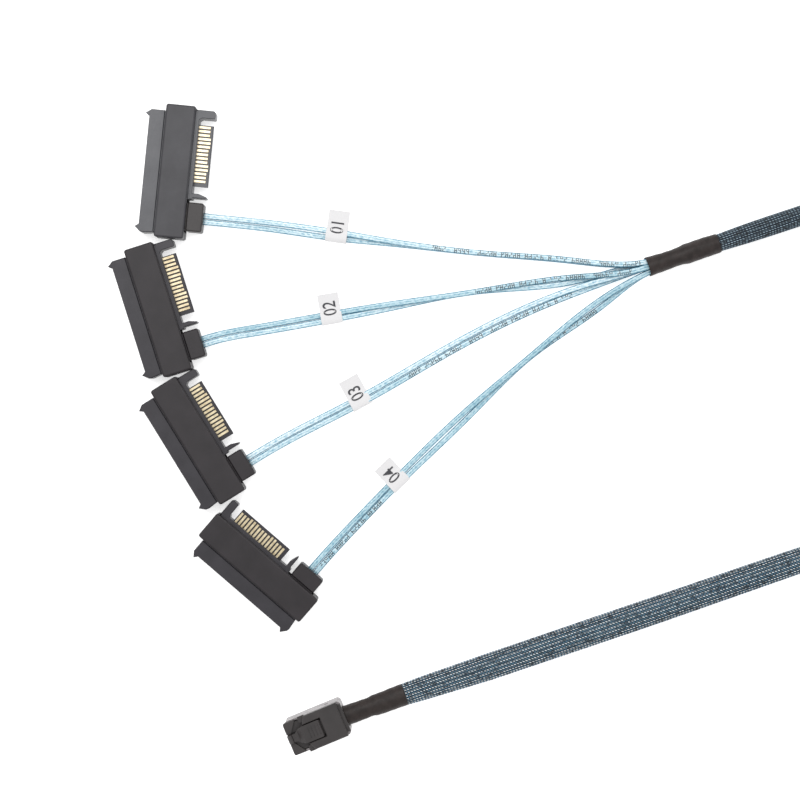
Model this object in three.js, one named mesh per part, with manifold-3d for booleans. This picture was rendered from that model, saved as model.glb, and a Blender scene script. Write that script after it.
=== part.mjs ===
// A breakout cable that lies flat: one square host plug with a press latch, a braided trunk with
// its spare length in a round coil, and four flat-ribbon leads, each with a drive connector.
// Millimetres, +Z up, everything rests on z = 0.
import * as THREE from 'three';
import { mergeVertices } from 'three/addons/utils/BufferGeometryUtils.js';
import Module from 'manifold-3d';

const wasm = await Module();
wasm.setup();

// Clearance between neighbours that are assembled, and between thin pieces that nest.
const CLEARANCE = 0.3;
const SNUG = 0.15;
const MELD = 0.2;

// How far a cut runs past the face that it opens, and how many sides a small round thing has.
const PAST = 1;
const ROUND_SIDES = 16;

// The middle of the rigid pieces' outline, which the whole layout is moved by.
const LAYOUT_CENTRE = { x: -56.1, y: -9.5 };

// Drive connectors: x runs along the cover from the arm end, y from the drive side to the rear.
const CONTACT_PITCH = 1.27;
const COVER = { length: 43.7, depth: 9.8, height: 8, wall: 1.1, corner: 0.8, edge: 0.35 };
const MID_LEVEL = COVER.height / 2;
const CORE = { height: 5.4, margin: 0.35 };
const NOSE = { start: 2.2, end: 42.3, reach: 5.3, height: 6.2, waist: 0.3, edge: 0.25 };
const HORN = { width: 2.3, length: 1.3, peak: 0.6, lead: 0.6, swell: 0.4, nick: 0.2, shoulder: 1.5 };
const SOCKET = { margin: 3.3, height: 1.9, key: 1.1, keyRise: 1.3, depth: 7.6 };
const REAR_STRIP = { start: 0.9, end: 30.4, thickness: 1, height: 5.2, edge: 0.2 };
const L_ARM = { width: 2.65, foot: 3.3, fillet: 0.9, length: 5.2, chamfer: 0.6 };
const THIN_ARM = {
  start: 28.4, width: 1.4, length: 4.9, root: 0.3, neck: 2.2, tip: 0.55, lead: 0.5, blunt: 0.2,
};
const TONGUE = { start: 5.6, length: 20.25, reach: 4.75, thickness: 1.2, lead: 0.35 };
const POWER_CONTACT = {
  count: 15, first: 6.35, width: 0.78, thickness: 0.22, reach: 4.2, step: 0.4, bar: 2.2,
};
const LONG_POWER_CONTACTS = [3, 4, 5, 10, 11];
const DRIVE_CONTACT = { width: 0.5, thickness: 0.2, reach: 5.2, bar: 1.2 };
const DRIVE_CONTACT_GROUPS = {
  power: { first: 8.1, count: 15 },
  signal: { first: 29.6, count: 7 },
};
const RELIEF = { start: 31.4, length: 9.5, reach: 5.6, height: 6.2, corner: 0.7, edge: 0.4 };
const RELIEF_FLANGE = { depth: 3.4, height: 5, grow: 0.6 };
const RIBBON_EXIT = 36.2;

// Where a drive connector ends: at its cover, or at the relief's flange where that goes further.
const CONNECTOR_END = Math.max(
  COVER.length,
  RELIEF.start + RELIEF.length + RELIEF_FLANGE.grow + CLEARANCE,
);

// The drive connectors lie end to end in a fan: each one's heading from arm to relief, and the
// step to the middle of its arm end from the end of the one before.
const FAN = {
  p1: { x: -71.53, y: 96.64, heading: -95.7 },
  p2: { x: -10, y: -2.72, heading: -72.5 },
  p3: { x: -4.92, y: -3.45, heading: -58.4 },
  p4: { x: -8.19, y: -8.71, heading: -40.8 },
};

// Flat twin ribbons, two to a lead: how far each one lies from the lead's middle line, sideways
// and in height. Where the two lie on each other, one is lifted before they draw together.
const RIBBON = { width: 1.9, thickness: 1.15, corner: 0.4 };
const BESIDE = RIBBON.width / 2 + SNUG;
const ABOVE = RIBBON.thickness / 2 + SNUG;

// Each lead's middle line after its strain relief: x, y, height, spread and lift.
const LEADS = {
  p1: [
    [-42, 57.4, 1.6, BESIDE, ABOVE],
    [-21, 54.4, 2.1, BESIDE, ABOVE],
    [-3.3, 52.1, 1.6, 0.35, ABOVE],
    [26.5, 48.6, 1.5, 0, ABOVE],
    [56.4, 46.1, 2, 0.1, ABOVE],
  ],
  p2: [
    [-47, 23.2, 0.8, BESIDE, 0],
    [-22.7, 27.5, 1.3, BESIDE, 0],
    [-3.3, 31, 1.5, 0.65, ABOVE],
    [25, 35.6, 1.5, 0, ABOVE],
    [56.4, 41, 1.7, 0.8, ABOVE],
  ],
  p3: [
    [-40, -14.2, 0.8, BESIDE, 0],
    [-13.2, -0.2, 1.3, BESIDE, 0],
    [16.6, 16.9, 0.75, BESIDE, 0],
    [43.1, 30.2, 0.75, BESIDE, 0],
    [61.5, 37.3, 1.6, 0.7, ABOVE],
  ],
  p4: [
    [-19.5, -46.2, 0.8, BESIDE, 0],
    [-0.7, -26.7, 1.3, BESIDE, 0],
    [23.2, -3.7, 1.1, BESIDE, 0.4],
    [43.1, 14.3, 1.5, 0.1, ABOVE],
    [67, 32.4, 1.5, BESIDE, 0.6],
  ],
};

// Paper flags: the point on the lead that each one wraps, its heading, and its two edges.
const FLAG = { width: 7, ply: 0.3, rise: 0.4, round: 0.6 };
const FLAGS = {
  p1: { x: -21, y: 54.4, z: 2.1, heading: -8, lift: ABOVE, reach: 8.2 },
  p2: { x: -22.7, y: 27.5, z: 1.3, heading: 10, lift: 0, reach: 7.8 },
  p3: { x: -13.2, y: -0.2, z: 1.3, heading: 29, lift: 0, reach: 8.4 },
  p4: { x: -0.7, y: -26.7, z: 1.3, heading: 44, lift: 0, reach: 7.6 },
};

// The trunk's breakout end: a shrunk tube over the eight ribbons and the start of the braid.
const BREAKOUT = { x: 81.6, y: 43.8, z: 3.3, heading: 18.9, length: 24.6, flatness: 0.95 };
const BREAKOUT_RADII = [[0, 3.3], [8, 3], [11, 3], [13.5, 3.45], [22, 3.4]];
const BREAKOUT_END_RADIUS = 3.15;
const MOUTH_COLUMNS = RIBBON.width + SNUG;
const MOUTH_ROWS = RIBBON.thickness + SNUG * 1.5;
const MOUTH = {
  p1: { a: [1, 1], b: [1, 0] },
  p2: { a: [0, 1], b: [1, -1] },
  p3: { a: [0, 0], b: [0, -1] },
  p4: { a: [-1, 0], b: [-1, -1] },
};

// Braided trunk: an oval section on each free stretch, and the coil of its spare length.
const TRUNK_UPPER = { width: 6.7, height: 6.5 };
const TRUNK_LOWER = { width: 9.2, height: 5.4 };
const TRUNK_SIDES = 10;
const TRUNK_UPPER_ROUTE = [
  [105.1, 51.8, 3.3],
  [118, 56.1, 3.3],
  [131, 60.4, 3.3],
  [155, 68.5, 3.3],
  [179.4, 76.7, 3.3],
];
const TRUNK_LOWER_ROUTE = [
  [2, -97, 2.75],
  [23.1, -90.1, 2.75],
  [52.8, -80.1, 2.75],
  [92.4, -66.6, 2.75],
  [127.1, -54.6, 2.75],
  [138, -50.9, 3.0],
  [154, -45.5, 6.4],
  [171, -39.7, 9.8],
  [190, -33.2, 10.2],
  [213.7, -25.2, 10.2],
];
const COIL = {
  x: 198, y: 21.6, inner: 49.2, outer: 58.2, strand: 8.8, height: 6.6, corner: 2, segments: 48,
};
const TIE = { angle: 35, width: 8, ply: 0.9, corner: 1.6 };

// Host plug: x runs from its mating face to the cable, z from its floor.
const PLUG = { x: -36.4, y: -111.2, heading: 22.5, length: 20.1, width: 11.6, height: 10.6 };
const PLUG_SHELL = {
  start: 1.2, height: 8.2, wall: 0.7, chamfer: 0.7, chamferRun: 0.8, window: 1.3, windowAt: 15.4,
};
const PLUG_TOE = { start: 5.4, end: 7.6, inside: 4, swell: 0.25, height: 0.95 };
const PLUG_COVER = { start: 7.4, end: 18.9, roof: 0.8, edge: 0.3, bayEnd: 12.3, slant: 1.3 };
const PLUG_LEDGE = { inset: 1.1, height: 0.8 };
const SHROUD = { length: 8.4, height: 7.3, wall: 0.9, roof: 0.7, base: 0.9, corner: 0.6 };
const SHROUD_BLOCK = { end: 4.9, taper: 3.4, height: 1, overhang: 0.75, channel: 1.9 };
const PADDLE_CARD = { length: 13, width: 7.3, thickness: 0.8, recess: 1, spacing: 2.1 };
const INNER_MOULD = { start: 10.4, end: 18.6, drop: 0.8 };
const LATCH = {
  neckWidth: 2.7, thickness: 1.1, padWidth: 5.8, padStart: 4.2, padEnd: 11.9,
  shoulder: 1.4, padCurve: 2.2, padCorner: 0.7, eye: 0.85, eyeWidth: 4.8, sink: 0.1,
};
const LATCH_PROFILE = {
  tip: 0.2, hookStart: 1, hook: 0.7, hookTop: 0.5, hookSlope: 0.2, ramp: 0.5, brow: 1, heel: 0.4,
};
const LATCH_GRIP = { count: 4, first: 7.6, pitch: 1.1, width: 0.3, depth: 0.15, length: 3.6 };
const LATCH_PIN = { x: 13.6, diameter: 0.9, length: 7.6 };
const LATCH_SPRING = { start: 5.2, length: 4.2, width: 2.4, thickness: 0.15, bow: 0.2 };
const CABLE_EXIT = { level: 4.7, radius: 3.8, shift: -0.3 };
const PLUG_SHRINK = { inside: 0.5, flatness: 0.8, endLevel: 2.95, endRadius: 3.6 };
const PLUG_SHRINK_RADII = [[0, 3.4], [9.4, 3.2], [10.4, 3.55], [14, 3.6], [18, 3.7]];

const FINISHES = {
  cover: { color: 0x3a3739, roughness: 0.62, metalness: 0 },
  moulding: { color: 0x4c4a4e, roughness: 0.55, metalness: 0 },
  contact: { color: 0xd9c08a, roughness: 0.3, metalness: 1 },
  ribbon: { color: 0xa9cfe0, roughness: 0.35, metalness: 0 },
  paper: { color: 0xe9e6e6, roughness: 0.8, metalness: 0 },
  shrink: { color: 0x2e2928, roughness: 0.6, metalness: 0 },
  braid: { color: 0x2b3036, roughness: 0.5, metalness: 0 },
  shell: { color: 0xb9b1b1, roughness: 0.35, metalness: 1 },
  board: { color: 0x2f5a41, roughness: 0.5, metalness: 0 },
  spring: { color: 0xb5b5b8, roughness: 0.3, metalness: 1 },
  strap: { color: 0x222224, roughness: 0.9, metalness: 0 },
};

function radians(degrees) {
  return THREE.MathUtils.degToRad(degrees);
}

// A closed three.js geometry as a solid that can be cut and joined.
function toSolid(geometry) {
  const bare = geometry.clone();
  bare.deleteAttribute('normal');
  bare.deleteAttribute('uv');
  const merged = mergeVertices(bare, 1e-4);
  return new wasm.Manifold(new wasm.Mesh({
    numProp: 3,
    vertProperties: new Float32Array(merged.attributes.position.array),
    triVerts: new Uint32Array(merged.index.array),
  }));
}

function toGeometry(solid) {
  const { vertProperties, triVerts } = solid.getMesh();
  const geometry = new THREE.BufferGeometry();
  geometry.setAttribute('position', new THREE.BufferAttribute(vertProperties, 3));
  geometry.setIndex(new THREE.BufferAttribute(triVerts, 1));
  const faceted = geometry.toNonIndexed();
  faceted.computeVertexNormals();
  return faceted;
}

function addPiece(group, name, solid, finish) {
  const mesh = new THREE.Mesh(toGeometry(solid), new THREE.MeshStandardMaterial(finish));
  mesh.name = name;
  group.add(mesh);
}

function join(...solids) {
  return solids.reduce((sum, solid) => sum.add(solid));
}

function cut(solid, ...tools) {
  return tools.reduce((rest, tool) => rest.subtract(tool), solid);
}

function block([x0, x1], [y0, y1], [z0, z1]) {
  const geometry = new THREE.BoxGeometry(x1 - x0, y1 - y0, z1 - z0);
  geometry.translate((x0 + x1) / 2, (y0 + y1) / 2, (z0 + z1) / 2);
  return toSolid(geometry);
}

// A plan outline raised from one level to another, its two rims bevelled by edge.
function slab(outline, z0, z1, edge = 0, curveSegments = 3) {
  const geometry = new THREE.ExtrudeGeometry(outline, {
    depth: z1 - z0 - 2 * edge,
    bevelEnabled: edge > 0,
    bevelThickness: edge,
    bevelSize: edge,
    bevelOffset: -edge,
    bevelSegments: 1,
    curveSegments,
  });
  geometry.translate(0, 0, z0 + edge);
  return toSolid(geometry);
}

// An outline drawn in x and z, swept across y.
function crossSlab(outline, y0, y1, edge = 0, curveSegments = 4) {
  return slab(outline, -y1, -y0, edge, curveSegments).rotate([90, 0, 0]);
}

// An outline drawn in y and z, swept along x.
function longSlab(outline, x0, x1) {
  return slab(outline, x0, x1).rotate([90, 0, 90]);
}

function polygon(points) {
  return new THREE.Shape(points.map(([x, y]) => new THREE.Vector2(x, y)));
}

function roundedRect(x0, x1, y0, y1, radius) {
  const shape = new THREE.Shape();
  shape.moveTo(x0 + radius, y0);
  shape.lineTo(x1 - radius, y0);
  shape.absarc(x1 - radius, y0 + radius, radius, -Math.PI / 2, 0);
  shape.lineTo(x1, y1 - radius);
  shape.absarc(x1 - radius, y1 - radius, radius, 0, Math.PI / 2);
  shape.lineTo(x0 + radius, y1);
  shape.absarc(x0 + radius, y1 - radius, radius, Math.PI / 2, Math.PI);
  shape.lineTo(x0, y0 + radius);
  shape.absarc(x0 + radius, y0 + radius, radius, Math.PI, Math.PI * 1.5);
  return shape;
}

function around(level, height) {
  return [level - height / 2, level + height / 2];
}

// Where the rear strip of the moulding starts behind the cover, and where it ends.
const STRIP_FRONT = COVER.depth + CLEARANCE;
const STRIP_REAR = STRIP_FRONT + REAR_STRIP.thickness;
const CORE_SPAN = [COVER.wall + CLEARANCE, COVER.length - COVER.wall - CLEARANCE];
const TONGUE_TOP = MID_LEVEL + TONGUE.thickness / 2;
const SOCKET_FLOOR = MID_LEVEL - SOCKET.height / 2;
const RELIEF_FRONT = COVER.depth - COVER.wall - RELIEF_FLANGE.depth;

// The long nose that takes the drive, with a pointed guide horn at either end.
function noseOutline() {
  const tip = -NOSE.reach - HORN.length;
  const back = -CLEARANCE;
  return polygon([
    [NOSE.start, back],
    [NOSE.start, -NOSE.reach + HORN.lead],
    [NOSE.start + HORN.width * HORN.peak, tip],
    [NOSE.start + HORN.width, -NOSE.reach],
    [NOSE.end - HORN.width, -NOSE.reach],
    [NOSE.end - HORN.width * HORN.peak, tip],
    [NOSE.end + HORN.swell - HORN.nick, -NOSE.reach + HORN.lead],
    [NOSE.end + HORN.swell, -NOSE.reach + HORN.shoulder],
    [NOSE.end, back - CLEARANCE],
    [NOSE.end, back],
  ]);
}

function socketCut() {
  const start = NOSE.start + SOCKET.margin;
  const end = NOSE.end - SOCKET.margin;
  const depth = [-NOSE.reach - PAST, SOCKET.depth - NOSE.reach];
  const floor = SOCKET_FLOOR;
  const keyTop = floor + SOCKET.height + SOCKET.keyRise;
  return join(
    block([start, end], depth, [floor, floor + SOCKET.height]),
    block([start, start + SOCKET.key], depth, [floor, keyTop]),
    block([end - SOCKET.key, end], depth, [floor, keyTop]),
  );
}

// The two guide arms and the strip that joins them, behind the cover.
function rearArmsOutline() {
  const armEnd = STRIP_REAR + L_ARM.length;
  const armInside = REAR_STRIP.start + L_ARM.width;
  const thinInside = THIN_ARM.start;
  const thinOutside = THIN_ARM.start + THIN_ARM.width;
  const thinEnd = STRIP_REAR + THIN_ARM.length;
  return polygon([
    [REAR_STRIP.start, STRIP_FRONT],
    [REAR_STRIP.end, STRIP_FRONT],
    [REAR_STRIP.end, STRIP_REAR],
    [thinOutside, STRIP_REAR + THIN_ARM.root],
    [thinOutside, thinEnd - THIN_ARM.lead],
    [thinOutside - THIN_ARM.blunt, thinEnd],
    [thinOutside - THIN_ARM.tip, thinEnd - THIN_ARM.blunt / 2],
    [thinInside, STRIP_REAR + THIN_ARM.neck],
    [thinInside, STRIP_REAR],
    [REAR_STRIP.start + L_ARM.foot, STRIP_REAR],
    [armInside, STRIP_REAR + L_ARM.fillet],
    [armInside, armEnd - L_ARM.chamfer / 2],
    [armInside - L_ARM.chamfer / 2, armEnd],
    [REAR_STRIP.start + L_ARM.chamfer, armEnd],
    [REAR_STRIP.start, armEnd - L_ARM.chamfer],
  ]);
}

function tongueOutline() {
  const half = TONGUE.thickness / 2;
  const tip = STRIP_REAR + TONGUE.reach;
  return polygon([
    [CORE.margin, MID_LEVEL - half],
    [tip - TONGUE.lead, MID_LEVEL - half],
    [tip, MID_LEVEL - half + TONGUE.lead],
    [tip, MID_LEVEL + half - TONGUE.lead],
    [tip - TONGUE.lead, MID_LEVEL + half],
    [CORE.margin, MID_LEVEL + half],
  ]);
}

// The slot above the tongue's root that the contact comb is pushed into.
function combSlot() {
  const from = POWER_CONTACT.first - CONTACT_PITCH;
  const to = POWER_CONTACT.first + CONTACT_PITCH * POWER_CONTACT.count;
  return block(
    [from, to],
    [STRIP_REAR - POWER_CONTACT.bar - CLEARANCE, STRIP_REAR + SNUG],
    [TONGUE_TOP, TONGUE_TOP + POWER_CONTACT.thickness + SNUG * 2],
  );
}

function receptacleHousing() {
  const [low, high] = around(MID_LEVEL, CORE.height);
  const core = join(
    block(CORE_SPAN, [CORE.margin, RELIEF_FRONT - CLEARANCE], [low, high]),
    block([CORE_SPAN[0], REAR_STRIP.end], [CORE.margin, STRIP_FRONT + MELD], [low, high]),
  );
  const nose = slab(noseOutline(), ...around(MID_LEVEL, NOSE.height), NOSE.edge);
  const waist = block(
    [NOSE.start + NOSE.waist, NOSE.end - NOSE.waist],
    [-CLEARANCE - MELD, CORE.margin + MELD],
    [low, high],
  );
  const arms = slab(rearArmsOutline(), ...around(MID_LEVEL, REAR_STRIP.height), REAR_STRIP.edge);
  const tongue = longSlab(tongueOutline(), TONGUE.start, TONGUE.start + TONGUE.length);
  return cut(join(core, nose, waist, arms, tongue), socketCut(), combSlot());
}

// Contacts in a row along x on a shared bar at their root, the reach of each chosen by its index.
function contactComb({ first, count, width, thickness, bar }, root, reachOf) {
  const half = width / 2;
  const outline = [[first - half, root - bar]];
  for (let i = count - 1; i >= 0; i -= 1) {
    const x = first + i * CONTACT_PITCH;
    const tip = root + reachOf(i);
    const corner = i === count - 1 ? root - bar : root;
    outline.push([x + half, corner], [x + half, tip], [x - half, tip]);
    if (i > 0) outline.push([x - half, root]);
  }
  return slab(polygon(outline), 0, thickness);
}

function powerContacts() {
  const { reach, step } = POWER_CONTACT;
  const comb = contactComb(POWER_CONTACT, STRIP_REAR, (i) => (
    LONG_POWER_CONTACTS.includes(i) ? reach : reach - step
  ));
  return comb.translate([0, 0, TONGUE_TOP + SNUG]);
}

// The drive-side contacts lie on the socket's floor and point at the drive.
function driveContacts() {
  const root = SOCKET.depth - NOSE.reach - CLEARANCE - DRIVE_CONTACT.bar;
  const level = SOCKET_FLOOR + SNUG;
  const { power, signal } = DRIVE_CONTACT_GROUPS;
  const rows = [power, signal].map((group) => (
    contactComb({ ...DRIVE_CONTACT, ...group }, 0, () => DRIVE_CONTACT.reach)
      .mirror([0, 1, 0])
      .translate([0, root, level])
  ));
  const bridge = block(
    [power.first, signal.first + (signal.count - 1) * CONTACT_PITCH],
    [root + MELD, root + DRIVE_CONTACT.bar],
    [level, level + DRIVE_CONTACT.thickness],
  );
  return join(bridge, ...rows);
}

function coverShell(upper) {
  const outline = roundedRect(0, COVER.length, 0, COVER.depth, COVER.corner);
  const whole = slab(outline, 0, COVER.height, COVER.edge, 4);
  const bay = around(MID_LEVEL, COVER.height - 2 * COVER.wall);
  const reliefEnd = RELIEF.start + RELIEF.length;
  const rearWall = COVER.depth - COVER.wall;
  const hollow = join(
    block([COVER.wall, COVER.length - COVER.wall], [-PAST, rearWall], bay),
    block([COVER.wall, reliefEnd + CLEARANCE], [rearWall - MELD, COVER.depth + PAST], bay),
  );
  const levels = upper
    ? [-PAST, MID_LEVEL + SNUG / 2]
    : [MID_LEVEL - SNUG / 2, COVER.height + PAST];
  const other = block([-PAST, COVER.length + PAST], [-PAST, COVER.depth + PAST], levels);
  return cut(whole, hollow, other);
}

// The moulded block that grips the ribbons, with a flange that the cover holds.
function strainRelief() {
  const end = RELIEF.start + RELIEF.length;
  const outline = roundedRect(
    RELIEF.start, end, COVER.depth + CLEARANCE, COVER.depth + RELIEF.reach, RELIEF.corner,
  );
  const body = slab(outline, ...around(MID_LEVEL, RELIEF.height), RELIEF.edge);
  const neck = block(
    [RELIEF.start + CLEARANCE, end - CLEARANCE],
    [RELIEF_FRONT, COVER.depth + CLEARANCE + MELD],
    around(MID_LEVEL, RELIEF_FLANGE.height),
  );
  const flange = block(
    [RELIEF.start + CLEARANCE, end + RELIEF_FLANGE.grow],
    [RELIEF_FRONT, RELIEF_FRONT + RELIEF_FLANGE.depth - CLEARANCE],
    around(MID_LEVEL, RELIEF_FLANGE.height),
  );
  return join(body, neck, flange);
}

// A point of the layout given in a piece's own x, y and heading.
function placed({ x, y, heading }, along, across, z) {
  const turn = radians(heading);
  return new THREE.Vector3(
    x + along * Math.cos(turn) - across * Math.sin(turn),
    y + along * Math.sin(turn) + across * Math.cos(turn),
    z,
  );
}

// Each drive connector's name, cover middle and heading, laid out from the fan's steps.
function layFan() {
  let end = { x: 0, y: 0 };
  return Object.entries(FAN).map(([name, { x, y, heading }]) => {
    const start = { x: end.x + x, y: end.y + y, heading };
    const middle = placed(start, COVER.length / 2, 0, 0);
    end = placed(start, CONNECTOR_END, 0, 0);
    return { name, x: middle.x, y: middle.y, heading };
  });
}

function turnedGroup({ x, y, z = 0, heading }) {
  const group = new THREE.Group();
  group.rotation.z = radians(heading);
  group.position.set(x, y, z);
  return group;
}

function driveConnector(place) {
  const { name } = place;
  const group = turnedGroup(place);
  const local = new THREE.Group();
  local.position.set(-COVER.length / 2, -COVER.depth / 2, 0);
  group.add(local);
  addPiece(local, `${name}_receptacle_housing`, receptacleHousing(), FINISHES.moulding);
  addPiece(local, `${name}_cover_top`, coverShell(true), FINISHES.cover);
  addPiece(local, `${name}_cover_bottom`, coverShell(false), FINISHES.cover);
  addPiece(local, `${name}_power_contacts`, powerContacts(), FINISHES.contact);
  addPiece(local, `${name}_drive_contacts`, driveContacts(), FINISHES.contact);
  addPiece(local, `${name}_strain_relief`, strainRelief(), FINISHES.cover);
  return group;
}

function ovalShape(width, height, sides) {
  const points = Array.from({ length: sides }, (_, i) => {
    const angle = (2 * Math.PI * (i + 0.5)) / sides;
    return [Math.cos(angle) * height / 2, Math.sin(angle) * width / 2];
  });
  return polygon(points);
}

function ribbonShape() {
  const [w, t, c] = [RIBBON.width / 2, RIBBON.thickness / 2, RIBBON.corner];
  return polygon([
    [t, w - c], [t - c, w], [c - t, w], [-t, w - c], [-t, c - w], [c - t, -w], [t - c, -w], [t, c - w],
  ]);
}

// A smooth path whose even steps fall on its chosen points, so that each point gets a section.
class StationPath extends THREE.CatmullRomCurve3 {
  getPointAt(share, target) {
    return this.getPoint(share, target);
  }

  getTangentAt(share, target) {
    return this.getTangent(share, target);
  }
}

function sweep(shape, points) {
  const settings = {
    steps: points.length - 1,
    extrudePath: new StationPath(points, false, 'centripetal'),
    bevelEnabled: false,
  };
  return toSolid(new THREE.ExtrudeGeometry(shape, settings));
}

// The straight stretch that a ribbon has outside its strain relief, and at the trunk's mouth.
const RIBBON_LEAD = 5;

// One ribbon of a lead: side is 1 on the lead's left and -1 on its right, and cell is its place
// in the trunk's mouth, as a column and a row.
function ribbon(connector, side, [column, row]) {
  const exitAlong = RIBBON_EXIT - COVER.length / 2 - side * BESIDE;
  const exitAcross = COVER.depth / 2 + RELIEF.reach + CLEARANCE;
  const across = column * MOUTH_COLUMNS;
  const level = BREAKOUT.z + row * MOUTH_ROWS;
  const start = [
    placed(connector, exitAlong, exitAcross, MID_LEVEL),
    placed(connector, exitAlong, exitAcross + RIBBON_LEAD, MID_LEVEL),
  ];
  const end = [
    placed(BREAKOUT, -RIBBON_LEAD, across, level),
    placed(BREAKOUT, -CLEARANCE, across, level),
  ];
  const route = LEADS[connector.name];
  const middle = route.map(([x, y, z, spread, lift], i) => {
    const [fromX, fromY] = i > 0 ? route[i - 1] : [start[1].x, start[1].y];
    const [toX, toY] = i + 1 < route.length ? route[i + 1] : [end[0].x, end[0].y];
    const turn = Math.atan2(toY - fromY, toX - fromX);
    return new THREE.Vector3(
      x - Math.sin(turn) * side * spread,
      y + Math.cos(turn) * side * spread,
      z + side * lift,
    );
  });
  return sweep(ribbonShape(), [...start, ...middle, ...end]);
}

// A paper flag folded round the two ribbons and stuck to itself, its tail off to the left.
function flag({ lift, reach }) {
  const halfWidth = BESIDE + RIBBON.width / 2 + CLEARANCE;
  const halfHeight = lift + RIBBON.thickness / 2 + CLEARANCE;
  const { ply, width, rise } = FLAG;
  const round = halfHeight * FLAG.round;
  const outside = roundedRect(
    -halfWidth - ply, halfWidth + ply, -halfHeight - ply, halfHeight + ply, round + ply,
  );
  const inside = roundedRect(-halfWidth, halfWidth, -halfHeight, halfHeight, round);
  const tail = polygon([
    [halfWidth, -ply / 2], [reach, rise - ply / 2], [reach, rise + ply / 2], [halfWidth, ply / 2],
  ]);
  const span = [-width / 2, width / 2];
  return cut(
    join(longSlab(outside, ...span), longSlab(tail, ...span)),
    longSlab(inside, span[0] - PAST, span[1] + PAST),
  );
}

// A solid of revolution about x from pairs of position and radius, flattened in height.
function shrunkTube(radii, flatness) {
  const start = radii[0][0];
  const end = radii[radii.length - 1][0];
  const profile = [[0, start], ...radii.map(([along, radius]) => [radius, along]), [0, end]];
  const points = profile.map(([r, h]) => new THREE.Vector2(r, h));
  const geometry = new THREE.LatheGeometry(points, ROUND_SIDES);
  return toSolid(geometry).rotate([0, 0, -90]).scale([1, 1, flatness]);
}

function breakoutShrink() {
  return shrunkTube(
    [...BREAKOUT_RADII, [BREAKOUT.length, BREAKOUT_END_RADIUS]],
    BREAKOUT.flatness,
  );
}

function coilSection(grow) {
  const half = COIL.strand / 2 + grow;
  const [inner, outer] = [COIL.inner - half, COIL.outer + half];
  const [low, high] = [-grow, COIL.height + grow];
  const r = COIL.corner;
  return [
    [inner, low + r], [inner + r, low], [outer - r, low], [outer, low + r],
    [outer, high - r], [outer - r, high], [inner + r, high], [inner, high - r], [inner, low + r],
  ].map(([x, y]) => new THREE.Vector2(x, y));
}

function coilRing(grow) {
  return toSolid(new THREE.LatheGeometry(coilSection(grow), COIL.segments)).rotate([90, 0, 0]);
}

// The strap's outline across the coil, from x = radius and z = height, drawn in by inset.
function tieOutline(inset) {
  const half = COIL.strand / 2 - inset;
  return roundedRect(COIL.inner - half, COIL.outer + half, inset, COIL.height - inset, TIE.corner);
}

function tieBand(outerInset, innerInset, width) {
  const outer = crossSlab(tieOutline(outerInset), -width / 2, width / 2);
  const inner = crossSlab(tieOutline(innerInset), -width, width);
  return cut(outer, inner).rotate([0, 0, TIE.angle]);
}

function coil() {
  const groove = cut(
    block(
      [COIL.inner - COIL.strand, COIL.outer + COIL.strand],
      around(0, TIE.width + 2 * CLEARANCE),
      [-PAST, COIL.height + PAST],
    ),
    crossSlab(tieOutline(TIE.ply + CLEARANCE), -TIE.width, TIE.width),
  ).rotate([0, 0, TIE.angle]);
  return coilRing(0).subtract(groove).translate([COIL.x, COIL.y, 0]);
}

function trunkStretch({ width, height }, route) {
  const points = route.map(([x, y, z]) => new THREE.Vector3(x, y, z));
  return sweep(ovalShape(width, height, TRUNK_SIDES), points);
}

// The stretch from the breakout to the coil, shaped where it lies against the outer turn.
function upperTrunk() {
  const keepOff = coilRing(CLEARANCE).translate([COIL.x, COIL.y, 0]);
  return trunkStretch(TRUNK_UPPER, TRUNK_UPPER_ROUTE).subtract(keepOff);
}

// Levels and half widths that the host plug's pieces share.
const PLUG_HALF = PLUG.width / 2;
const SHELL_INSIDE = PLUG_HALF - PLUG_SHELL.wall;
const SHROUD_HALF = SHELL_INSIDE - CLEARANCE;
const SHROUD_TOP = SHROUD.base + SHROUD.height;
const BLOCK_BASE = SHROUD_TOP - SHROUD_BLOCK.height;
const NECK_FLOOR = SHROUD_TOP - SHROUD_BLOCK.channel;
const MOUTH_LEVELS = [SHROUD.base + SHROUD.wall, NECK_FLOOR - SHROUD.roof];
const CARD_MIDDLE = (MOUTH_LEVELS[0] + MOUTH_LEVELS[1]) / 2;
const CARD_LEVELS = [-0.5, 0.5].map((share) => CARD_MIDDLE + share * PADDLE_CARD.spacing);
const LATCH_LEVEL = SHROUD_TOP - LATCH.sink;
const LATCH_TOP = LATCH_LEVEL + LATCH.thickness;
const PIN_LEVEL = LATCH_LEVEL + LATCH.thickness / 2;
const COVER_FLOOR = PLUG_SHELL.height + SNUG;
const LATCH_BAY = LATCH.padWidth / 2 + CLEARANCE;

// The tub's plan at its outside, or drawn in by a wall.
function shellOutline(inset) {
  const rear = PLUG.length - inset;
  const half = PLUG_HALF - inset;
  const corner = half - PLUG_SHELL.chamferRun;
  const front = inset > 0 ? -PAST : PLUG_SHELL.start;
  return polygon([
    [front, -half], [rear - PLUG_SHELL.chamfer, -half], [rear, -corner],
    [rear, corner], [rear - PLUG_SHELL.chamfer, half], [front, half],
  ]);
}

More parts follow.
